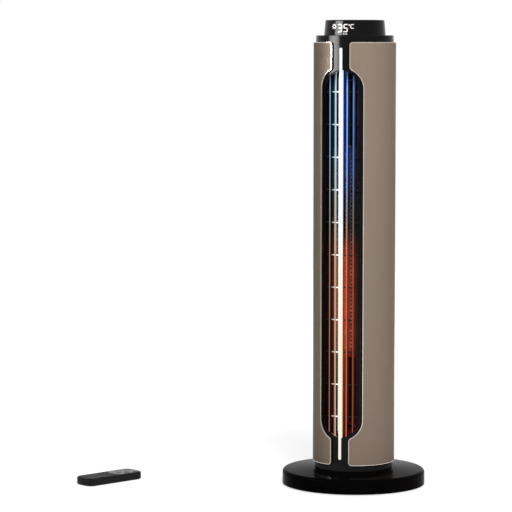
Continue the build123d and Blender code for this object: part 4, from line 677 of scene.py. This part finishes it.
    def cell_jacket(self, tree):
        """Printed sleeve of the round cells, bare metal at their ends."""
        values = {"Vector": tree.place(), "Rotation": (0.0, 0.0, -REMOTE_TURN)}
        turned = tree.filled("ShaderNodeMapping", values)
        along = tree.axes(turned.outputs["Vector"])["X"]
        bands = tree.fit(tree.maths("FRACT", tree.times(along, 22.0)), 0.3, 0.32)
        tree.paint(bands, shade(58, 60, 64), shade(26, 74, 62))
        tree.set("Metallic", tree.fit(bands, 0.0, 1.0, 0.7, 0.2))
        self.roughness(tree, 0.22, 0.4)

    def lit_digits(self, tree):
        """Lit segments of the display."""
        self.lit(tree, shade(255, 250, 246), shade(246, 232, 226), 0.92)

    def icon_ink(self, tree):
        """Printed icons, slightly uneven as ink is."""
        grain = tree.group(self.grain, Scale=1600.0)
        tree.paint(grain["Patch"], self.colours.icon, shade(208, 212, 214))
        tree.set("Normal", tree.bump(grain["Height"], 0.01 * MM))
        self.roughness(tree, 0.4, 0.6)

    def dim_icon(self, tree):
        """Unlit touch icons in the cap, drawn with a faint painted glow."""
        self.lit(tree, shade(116, 118, 122), shade(92, 94, 98), 0.5)

    def lit(self, tree, first, second, strength):
        spots = tree.noise(tree.place(), 420.0, 2.0)
        colour = tree.tones(tree.fit(spots, 0.3, 0.7), first, second)
        tree.glow(colour, strength)
        tree.set("Base Color", tree.dim(colour, 0.2))
        self.roughness(tree, 0.2, 0.3)


# The finishes of this run, kept here once they are asked for
SHARED = {}


def finishes():
    if "finishes" not in SHARED:
        SHARED["finishes"] = Finishes(bpy.context.scene)
    return SHARED["finishes"]


def add_object(name, data):
    made = bpy.data.objects.new(name, data)
    bpy.context.scene.collection.objects.link(made)
    return made


# Strokes: thin solid ribbons that lie on a surface


def arc(x, y, radius, start_deg, end_deg, steps=12):
    """Points along a part of a circle."""
    points = []
    for index in range(steps + 1):
        angle = math.radians(start_deg + (end_deg - start_deg) * index / steps)
        points.append((x + radius * math.cos(angle), y + radius * math.sin(angle)))
    return points


def circle(x, y, radius, steps=28):
    return arc(x, y, radius, 0, 360, steps)[:-1]


def rounded(points, radius, steps=4):
    """Line with its inner corners rounded."""
    line = [points[0]]
    for before, corner, after in zip(points, points[1:], points[2:]):
        corner = Vector(corner)
        to_before = (Vector(before) - corner).normalized()
        to_after = (Vector(after) - corner).normalized()
        start = corner + to_before * radius
        end = corner + to_after * radius
        for index in range(steps + 1):
            part = index / steps
            first = start.lerp(corner, part)
            second = corner.lerp(end, part)
            line.append(tuple(first.lerp(second, part)))
    line.append(points[-1])
    return line


def borders(points, half, closed):
    """Pairs of border points along a line, which ends in round caps unless it is closed."""
    spots = [Vector(point) for point in points]
    ways = [(there - here).normalized() for here, there in zip(spots, spots[1:] + spots[:1])]
    if not closed:
        ways[-1] = ways[-2]
    pairs = []
    for index, here in enumerate(spots):
        before = ways[index - 1] if closed or index > 0 else ways[0]
        pairs.append(border_pair(here, before, ways[index], half))
    if closed:
        return pairs
    start = [(right, left) for left, right in reversed(cap_pairs(spots[0], -ways[0], half))]
    return start + pairs + cap_pairs(spots[-1], ways[-1], half)


def border_pair(here, before, after, half):
    along = (before + after).normalized()
    normal = Vector((-along.y, along.x))
    straight = Vector((-before.y, before.x))
    reach = half / max(0.4, normal.dot(straight))
    return here + normal * reach, here - normal * reach


def cap_pairs(here, outwards, half):
    normal = Vector((-outwards.y, outwards.x))
    pairs = []
    for angle_deg in (35, 65, 84):
        angle = math.radians(angle_deg)
        centre = here + outwards * half * math.sin(angle)
        side = normal * half * math.cos(angle)
        pairs.append((centre + side, centre - side))
    return pairs


class Strokes:
    """Collects strokes on one surface and makes a mesh piece of them."""

    def __init__(self, place, low, high):
        self.place = place
        self.low = low
        self.high = high
        self.vertices = []
        self.faces = []

    def draw(self, points, width, closed=False):
        pairs = borders(points, width / 2, closed)
        first = len(self.vertices)
        for left, right in pairs:
            self.vertices += [
                self.place(left.x, left.y, self.high),
                self.place(right.x, right.y, self.high),
                self.place(right.x, right.y, self.low),
                self.place(left.x, left.y, self.low),
            ]
        count = len(pairs)
        for index in range(count if closed else count - 1):
            here = first + 4 * index
            there = first + 4 * ((index + 1) % count)
            for corner in range(4):
                other = (corner + 1) % 4
                self.faces.append((here + corner, here + other, there + other, there + corner))
        if not closed:
            end = first + 4 * (count - 1)
            self.faces.append((first, first + 1, first + 2, first + 3))
            self.faces.append((end, end + 1, end + 2, end + 3))

    def piece(self, name, body, finish):
        mesh = bpy.data.meshes.new(name)
        mesh.from_pydata(self.vertices, [], self.faces)
        work = bmesh.new()
        work.from_mesh(mesh)
        bmesh.ops.recalc_face_normals(work, faces=work.faces)
        work.to_mesh(mesh)
        work.free()
        mesh.materials.append(finishes().get(finish))
        made = add_object(name, mesh)
        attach(made, body)


# Pieces


class HEATER_OT_cad_finishes(bpy.types.Operator):
    """Give every CAD part its finish"""

    bl_idname = "heater.cad_finishes"
    bl_label = "Finishes of the CAD parts"

    def execute(self, context):
        for row in frame["record"]["subparts"]:
            node = frame["nodes"][row["node"]]
            finish = finishes().get(OWN_FINISHES.get(row["node"], row["material_slot"]))
            if not node.material_slots:
                node.data.materials.append(finish)
            for slot in node.material_slots:
                slot.material = finish
        return {"FINISHED"}


def shell_edge(inset):
    """Outline of a shell in arc length and height, at a distance inside its edge."""
    low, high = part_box("right_shell")
    radius = high.x
    middle = (low.z + high.z) / 2
    half_length = (high.z - low.z) / 2
    big_x = CUTOUT_HALF - CUTOUT_ROUND
    big_z = CUTOUT_LENGTH / 2 - CUTOUT_ROUND
    small_x = NECK_HALF + NECK_ROUND
    reach = CUTOUT_ROUND + NECK_ROUND
    small_z = big_z + math.sqrt(reach**2 - (small_x - big_x) ** 2)
    lean = math.degrees(math.atan2(small_z - big_z, small_x - big_x))
    end_x = NECK_HALF + SHELL_END_ROUND
    end_z = half_length - SHELL_END_ROUND
    upper = arc(end_x, end_z, SHELL_END_ROUND - inset, 90, 180, 5)
    upper += arc(small_x, small_z, NECK_ROUND - inset, 180, 180 + lean, 8)
    upper += arc(big_x, big_z, CUTOUT_ROUND + inset, lean, 0, 14)
    upper = [(radius * math.asin(x / radius), z) for x, z in upper]
    back = radius * SHELL_REACH - inset
    outline = [(back, half_length - inset)] + upper
    outline += [(u, -z) for u, z in reversed(outline)]
    return [(u, middle + z) for u, z in outline]


class HEATER_OT_shell_trims(bpy.types.Operator):
    """Make the polished edges of both side shells, strips whose near-white colour is a painted highlight
    """

    bl_idname = "heater.shell_trims"
    bl_label = "Shell edges"

    def execute(self, context):
        width = context.scene.heater_display.trim
        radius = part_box("right_shell")[1].x
        for side, name in ((1, "right_shell_edge"), (-1, "left_shell_edge")):

            def on_shell(u, v, w, side=side):
                angle = u / radius
                reach = radius + w
                return (side * reach * math.sin(angle), -reach * math.cos(angle), v)

            strokes = Strokes(on_shell, *EDGE_LAYER)
            strokes.draw(split_long(shell_edge(width / 2)), width, closed=True)
            strokes.piece(name, "tower", "polished_edge")
        return {"FINISHED"}


def split_long(points, longest=6.0 * MM):
    """Add points to long level runs, so that they follow a round surface."""
    line = []
    count = len(points)
    for index, point in enumerate(points):
        after = points[(index + 1) % count]
        line.append(point)
        steps = math.ceil(abs(after[0] - point[0]) / longest)
        for step in range(1, steps):
            part = step / steps
            x = point[0] + (after[0] - point[0]) * part
            line.append((x, point[1] + (after[1] - point[1]) * part))
    return line


def on_cap(u, v, w):
    """Point on the cap: arc length to the right of its front, height, distance outwards."""
    low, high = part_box("display_cap")
    rise = (v - low.z) / (high.z - low.z)
    radius = high.x - CAP_TAPER * rise
    angle = u / radius
    return ((radius + w) * math.sin(angle), -(radius + w) * math.cos(angle), v)


DIGIT_LINES = {
    "0": [[(0.5, 2), (0, 2), (0, 0), (1, 0), (1, 2), (0.5, 2)]],
    "1": [[(0.8, 2), (0.8, 0)]],
    "2": [[(0, 2), (1, 2), (1, 1), (0, 1), (0, 0), (1, 0)]],
    "3": [[(0, 2), (1, 2), (1, 0), (0, 0)], [(0.2, 1), (1, 1)]],
    "4": [[(0, 2), (0, 1), (1, 1)], [(1, 2), (1, 0)]],
    "5": [[(1, 2), (0, 2), (0, 1), (1, 1), (1, 0), (0, 0)]],
    "6": [[(1, 2), (0, 2), (0, 0), (1, 0), (1, 1), (0, 1)]],
    "7": [[(0, 2), (1, 2), (1, 0)]],
    "8": [[(0.5, 1), (0, 1), (0, 2), (1, 2), (1, 0), (0, 0), (0, 1)], [(0.5, 1), (1, 1)]],
    "9": [[(1, 1), (0, 1), (0, 2), (1, 2), (1, 0), (0, 0)]],
    "C": [[(1, 2), (0, 2), (0, 0), (1, 0)]],
}


# Layout of the display, to the right of its middle and above the foot of the reading.
# The letter has left edge, rise, width, height, stroke and rounding; the ring x, rise and radius.
READING_RISE = 6.2 * MM
DIGIT_PLACES = mm(-11.0, -0.6)
DIGIT_WIDTHS = mm(5.9, 6.0)
DIGIT_ROUND = 1.7 * MM
LETTER = mm(11.6, 5.8, 4.6, 6.4, 1.4, 1.9)
DEGREE_RING = mm(9.0, 11.2, 1.1)
FINE_LINE = 0.8 * MM
SUN_X = -20.6 * MM
SUN_RISE = 9.0 * MM
SUN_RAYS = 8
SUN_RAY_ENDS = mm(4.1, 4.9)
WAVE_PLACES = mm(-1.2, 1.8, 4.8)


def draw_sign(strokes, sign, x, z, width, height, stroke, round_off):
    """Draw one digit or letter with its lower left corner at a point."""
    for line in DIGIT_LINES[sign]:
        points = [(x + u * width, z + v * height / 2) for u, v in line]
        strokes.draw(rounded(points, round_off), stroke)


class HEATER_OT_display_reading(bpy.types.Operator):
    """Make the lit reading and icons on the front of the cap"""

    bl_idname = "heater.display_reading"
    bl_label = "Display reading"

    def execute(self, context):
        display = context.scene.heater_display
        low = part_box("display_cap")[0].z
        foot = low + READING_RISE
        size = (display.height, display.stroke, DIGIT_ROUND)
        strokes = Strokes(on_cap, *DISPLAY_LAYER)
        for sign, x, width in zip(f"{display.reading:02d}", DIGIT_PLACES, DIGIT_WIDTHS):
            draw_sign(strokes, sign, x, foot, width, *size)
        x, rise, *size = LETTER
        draw_sign(strokes, "C", x, foot + rise, *size)
        x, rise, radius = DEGREE_RING
        strokes.draw(circle(x, foot + rise, radius, 16), FINE_LINE, closed=True)
        strokes.piece("display_reading", "tower", "lit_digits")
        icons = Strokes(on_cap, *DISPLAY_LAYER)
        sun_z = foot + SUN_RISE
        icons.draw(circle(SUN_X, sun_z, 2.8 * MM), 1.7 * MM, closed=True)
        for index in range(SUN_RAYS):
            angle = math.tau * index / SUN_RAYS
            across = math.cos(angle)
            up = math.sin(angle)
            ray = [(SUN_X + reach * across, sun_z + reach * up) for reach in SUN_RAY_ENDS]
            icons.draw(ray, FINE_LINE)
        for x in WAVE_PLACES:
            draw_wave(icons, x, low + 1.1 * MM, 2.9 * MM, 0.45 * MM, 0.75 * MM)
        icons.piece("display_icons", "tower", "lit_digits")
        return {"FINISHED"}


def draw_wave(strokes, x, z, height, swing, stroke):
    """One rising wavy line."""
    steps = 8
    points = []
    for index in range(steps + 1):
        part = index / steps
        points.append((x + swing * math.sin(math.tau * part), z + height * part))
    strokes.draw(points, stroke)


# Icons in a field of one unit in each direction, as lines and closed lines
ICONS = {
    "power": ([arc(0, 0, 0.62, 125, 415, 20), [(0, 0.25), (0, 0.85)]], []),
    "swing": (
        [
            [(-0.75, -0.1), (0.75, -0.1)],
            [(-0.45, 0.2), (-0.75, -0.1), (-0.45, -0.4)],
            [(0.45, 0.2), (0.75, -0.1), (0.45, -0.4)],
            [(0, -0.1), (0, 0.6)],
        ],
        [],
    ),
    "mode": (
        [
            [(-0.5, -0.6), (-0.35, -0.2), (-0.6, 0.2), (-0.45, 0.6)],
            [(0, -0.6), (0.15, -0.2), (-0.1, 0.2), (0.05, 0.6)],
            [(0.5, -0.6), (0.65, -0.2), (0.4, 0.2), (0.55, 0.6)],
        ],
        [],
    ),
    "warmer": ([[(-0.62, 0), (0.62, 0)], [(0, -0.62), (0, 0.62)]], []),
    "cooler": ([[(-0.62, 0), (0.62, 0)]], []),
    "timer": ([[(0, 0.36), (0, 0), (0.3, -0.15)]], [circle(0, 0, 0.66, 22)]),
}


# Touch icons on the cap: angle from straight ahead in degrees, and their distance from the axis
TOUCH_ANGLES = {"swing": -54, "cooler": -27, "power": 0, "warmer": 27, "timer": 54}
TOUCH_RING = 34.0 * MM
TOUCH_ICON_HALF = 4.2 * MM
KEY_ICON_HALF = 3.0 * MM


def draw_icon(strokes, icon, x, y, half, line):
    """Draw one icon around a point, with half of its width given."""
    for closed, lines in zip((False, True), ICONS[icon]):
        for points in lines:
            strokes.draw([(x + u * half, y + v * half) for u, v in points], line, closed)


class HEATER_OT_touch_icons(bpy.types.Operator):
    """Make the touch icons on top of the cap"""

    bl_idname = "heater.touch_icons"
    bl_label = "Touch icons"

    def execute(self, context):
        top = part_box("display_cap")[1].z

        def on_top(u, v, w):
            return (u, v, top + w)

        line = context.scene.heater_display.icon_line
        strokes = Strokes(on_top, *TOUCH_LAYER)
        for name, angle_deg in TOUCH_ANGLES.items():
            x, y, _ = around(TOUCH_RING, math.radians(angle_deg), 0.0)
            draw_icon(strokes, name, x, y, TOUCH_ICON_HALF, line)
        strokes.piece("cap_touch_icons", "tower", "dim_icon")
        return {"FINISHED"}


class HEATER_OT_key_icons(bpy.types.Operator):
    """Make the printed icon on each of the six remote keys"""

    bl_idname = "heater.key_icons"
    bl_label = "Key icons"

    def execute(self, context):
        line = context.scene.heater_display.icon_line
        for icon in ICONS:
            key = f"{icon}_key"
            low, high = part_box(key)
            middle = (low + high) / 2

            def on_key(u, v, w, middle=middle, top=high.z):
                x = v * math.cos(REMOTE_TURN) + u * math.sin(REMOTE_TURN)
                y = v * math.sin(REMOTE_TURN) - u * math.cos(REMOTE_TURN)
                return (middle.x + x, middle.y + y, top + w)

            strokes = Strokes(on_key, *KEY_LAYER)
            draw_icon(strokes, icon, 0.0, 0.0, KEY_ICON_HALF, line)
            strokes.piece(f"{key}_icon", f"{key}_body", "icon_ink")
        return {"FINISHED"}


class HEATER_OT_rocker_marks(bpy.types.Operator):
    """Make the on and off marks of the power rocker"""

    bl_idname = "heater.rocker_marks"
    bl_label = "Rocker marks"

    def execute(self, context):
        low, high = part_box("power_rocker")
        middle = (low.z + high.z) / 2
        half = (high.z - low.z) / 2

        def on_rocker(u, v, w):
            face = high.y - ROCKER_DISH * (1 - abs(v) / half)
            return (-u, face + w, middle + v)

        line = context.scene.heater_display.icon_line
        strokes = Strokes(on_rocker, *ROCKER_LAYER)
        strokes.draw([(0.0, height) for height in ON_MARK], line)
        strokes.draw(circle(0.0, *OFF_MARK, 20), line, closed=True)
        strokes.piece("rocker_marks", "rocker", "icon_ink")
        return {"FINISHED"}


class HEATER_OT_screw_recesses(bpy.types.Operator):
    """Make the cross recesses of the housing and base screws, as flat dark crosses of painted shade"""

    bl_idname = "heater.screw_recesses"
    bl_label = "Screw recesses"

    def execute(self, context):
        def on_housing(u, v, w):
            x, y, height = self.spot
            reach = SCREW_HEAD_RADIUS + w
            return (reach * x - u * y, reach * y + u * x, height + v)

        strokes = Strokes(on_housing, *RECESS_LAYER)
        for angle in SCREW_ANGLES:
            for height in SCREW_HEIGHTS:
                self.spot = (math.cos(angle), math.sin(angle), height)
                self.cross(strokes)
        strokes.piece("housing_screw_recesses", "tower", "recess_black")

        def on_base(u, v, w):
            x, y = self.spot
            return (x + u, y + v, BASE_SCREW_LOW - w)

        strokes = Strokes(on_base, *RECESS_LAYER)
        for index in range(BASE_SCREW_COUNT):
            angle = math.tau * index / BASE_SCREW_COUNT
            self.spot = (BASE_SCREW_CIRCLE * math.cos(angle), BASE_SCREW_CIRCLE * math.sin(angle))
            self.cross(strokes)
        strokes.piece("base_screw_recesses", "base", "recess_black")
        return {"FINISHED"}

    def cross(self, strokes):
        reach = 1.5 * MM
        width = 0.65 * MM
        strokes.draw([(-reach, 0.0), (reach, 0.0)], width)
        strokes.draw([(0.0, -reach), (0.0, -width / 2)], width)
        strokes.draw([(0.0, width / 2), (0.0, reach)], width)


# Stage


def empty_tree(block):
    block.use_nodes = True
    block.node_tree.nodes.clear()
    return Tree(block.node_tree)


def background_light(tree, white, rest):
    """Shader that is white to the camera and in reflections, and another one to all other rays."""
    path = tree.node("ShaderNodeLightPath").outputs
    seen = tree.maths("MAXIMUM", path["Is Camera Ray"], path["Is Glossy Ray"])
    seen = tree.maths("MAXIMUM", seen, path["Is Transmission Ray"])
    return tree.filled("ShaderNodeMixShader", {0: seen, 1: rest, 2: white}).outputs[0]


# Lamps: size, distance from the axis, angle from the camera's side in degrees, height,
# height that they point at, spread in degrees, and whether they shine in surfaces or light them
LAMPS = {
    "key": ((1.0, 1.4), 2.3, 10.0, 1.7, 0.42, 180.0, False),
    "side": ((0.72, 0.95), 1.25, -63.0, 0.92, 0.9, 70.0, True),
    "back": ((1.4, 1.2), 2.2, 180.0, 1.6, 0.4, 180.0, False),
}

# Floor: radius and middle of the disc, and the distances between which its own light grows
FLOOR_RADIUS = 4.0
FLOOR_MIDDLE = (-0.15, 0.0, -0.3 * MM)
FLOOR_FADE = (0.5, 1.4)


def lamp(name, power, size, place, target, spread, shines):
    """Soft rectangular lamp that points at a spot, and either lights surfaces or shines in them."""
    data = bpy.data.lights.new(name, "AREA")
    data.shape = "RECTANGLE"
    data.size = size[0]
    data.size_y = size[1]
    data.energy = power
    data.spread = spread
    made = add_object(name, data)
    made.location = place
    made.rotation_euler = (Vector(target) - Vector(place)).to_track_quat("-Z", "Y").to_euler()
    made.visible_camera = False
    made.visible_glossy = shines
    made.visible_diffuse = not shines


def around(distance, angle, height):
    """Point at an angle from straight ahead, counted towards the heater's left-hand side."""
    return (distance * math.sin(angle), -distance * math.cos(angle), height)


class HEATER_OT_stage(bpy.types.Operator):
    """Make the floor, the room light, the lamps and the camera"""

    bl_idname = "heater.stage"
    bl_label = "Stage"

    def execute(self, context):
        stage = context.scene.heater_stage
        self.camera(context, stage)
        self.room(context, stage)
        self.floor()
        for name, row in LAMPS.items():
            size, distance, angle_deg, height, aim, spread_deg, shines = row
            power = getattr(stage, f"{name}_power")
            place = around(distance, stage.turn + math.radians(angle_deg), height)
            target = (0.0, 0.0, aim)
            lamp(f"{name}_lamp", power, size, place, target, math.radians(spread_deg), shines)
        return {"FINISHED"}

    def camera(self, context, stage):
        data = bpy.data.cameras.new("photo_camera")
        data.sensor_width = 36.0
        data.lens = stage.lens
        made = add_object("photo_camera", data)
        made.location = around(stage.distance, stage.turn, stage.height)
        made.rotation_euler = (math.pi / 2 - stage.tilt, 0.0, stage.turn + stage.pan)
        context.scene.camera = made

    def room(self, context, stage):
        world = bpy.data.worlds.new("studio_room")
        tree = empty_tree(world)
        white = tree.filled("ShaderNodeBackground", {"Color": (1.0, 1.0, 1.0, 1.0)})
        values = {"Color": (0.97, 0.98, 1.0, 1.0), "Strength": stage.ambient}
        room = tree.filled("ShaderNodeBackground", values)
        surface = background_light(tree, white.outputs[0], room.outputs[0])
        tree.filled("ShaderNodeOutputWorld", {"Surface": surface})
        context.scene.world = world
        context.scene.view_settings.view_transform = "Standard"

    def floor(self):
        mesh = bpy.data.meshes.new("studio_floor")
        work = bmesh.new()
        bmesh.ops.create_circle(work, cap_ends=True, segments=96, radius=FLOOR_RADIUS)
        bmesh.ops.translate(work, verts=work.verts, vec=FLOOR_MIDDLE)
        work.to_mesh(mesh)
        work.free()
        made = add_object("studio_floor", mesh)
        material = bpy.data.materials.new("studio_floor")
        tree = empty_tree(material)
        place = tree.place()
        paper = tree.fit(tree.noise(place, 60.0, 3.0), 0.3, 0.7, 0.78, 0.8)
        tone = tree.filled("ShaderNodeCombineColor", {0: paper, 1: paper, 2: paper})
        matte = tree.filled("ShaderNodeBsdfDiffuse", {"Color": tone.outputs[0]}).outputs[0]
        distance = tree.filled("ShaderNodeVectorMath", {0: place}, operation="LENGTH").outputs["Value"]
        strength = tree.fit(distance, *FLOOR_FADE, 0.7, 1.0)
        glow = tree.filled("ShaderNodeEmission", {"Strength": strength}).outputs[0]
        both = tree.filled("ShaderNodeAddShader", {0: matte, 1: glow}).outputs[0]
        surface = background_light(tree, both, matte)
        tree.filled("ShaderNodeOutputMaterial", {"Surface": surface})
        mesh.materials.append(material)


class HEATER_PT_sidebar(bpy.types.Panel):
    """Lists the steps of the heater's visual model"""

    bl_idname = "HEATER_PT_sidebar"
    bl_label = "Tower Heater"
    bl_space_type = "VIEW_3D"
    bl_region_type = "UI"
    bl_category = "Heater"

    def draw(self, context):
        for title in GROUPS:
            group = getattr(context.scene, title)
            box = self.layout.box()
            for name in group.__annotations__:
                box.prop(group, name)
        for step in STEPS:
            self.layout.operator(step.bl_idname)


GROUPS = {
    "heater_finish": HeaterFinish,
    "heater_glow": HeaterGlow,
    "heater_display": HeaterDisplay,
    "heater_stage": HeaterStage,
}

STEPS = (
    HEATER_OT_stage,
    HEATER_OT_cad_finishes,
    HEATER_OT_shell_trims,
    HEATER_OT_display_reading,
    HEATER_OT_touch_icons,
    HEATER_OT_key_icons,
    HEATER_OT_rocker_marks,
    HEATER_OT_screw_recesses,
)


def register():
    for name, group in GROUPS.items():
        bpy.utils.register_class(group)
        setattr(bpy.types.Scene, name, bpy.props.PointerProperty(type=group))
    for step in STEPS:
        bpy.utils.register_class(step)
    bpy.utils.register_class(HEATER_PT_sidebar)


def unregister():
    bpy.utils.unregister_class(HEATER_PT_sidebar)
    for step in reversed(STEPS):
        bpy.utils.unregister_class(step)
    for name, group in reversed(GROUPS.items()):
        delattr(bpy.types.Scene, name)
        bpy.utils.unregister_class(group)


def main():
    register()
    for step in STEPS:
        family, action = step.bl_idname.split(".")
        getattr(getattr(bpy.ops, family), action)()


if __name__ == "__main__":
    main()
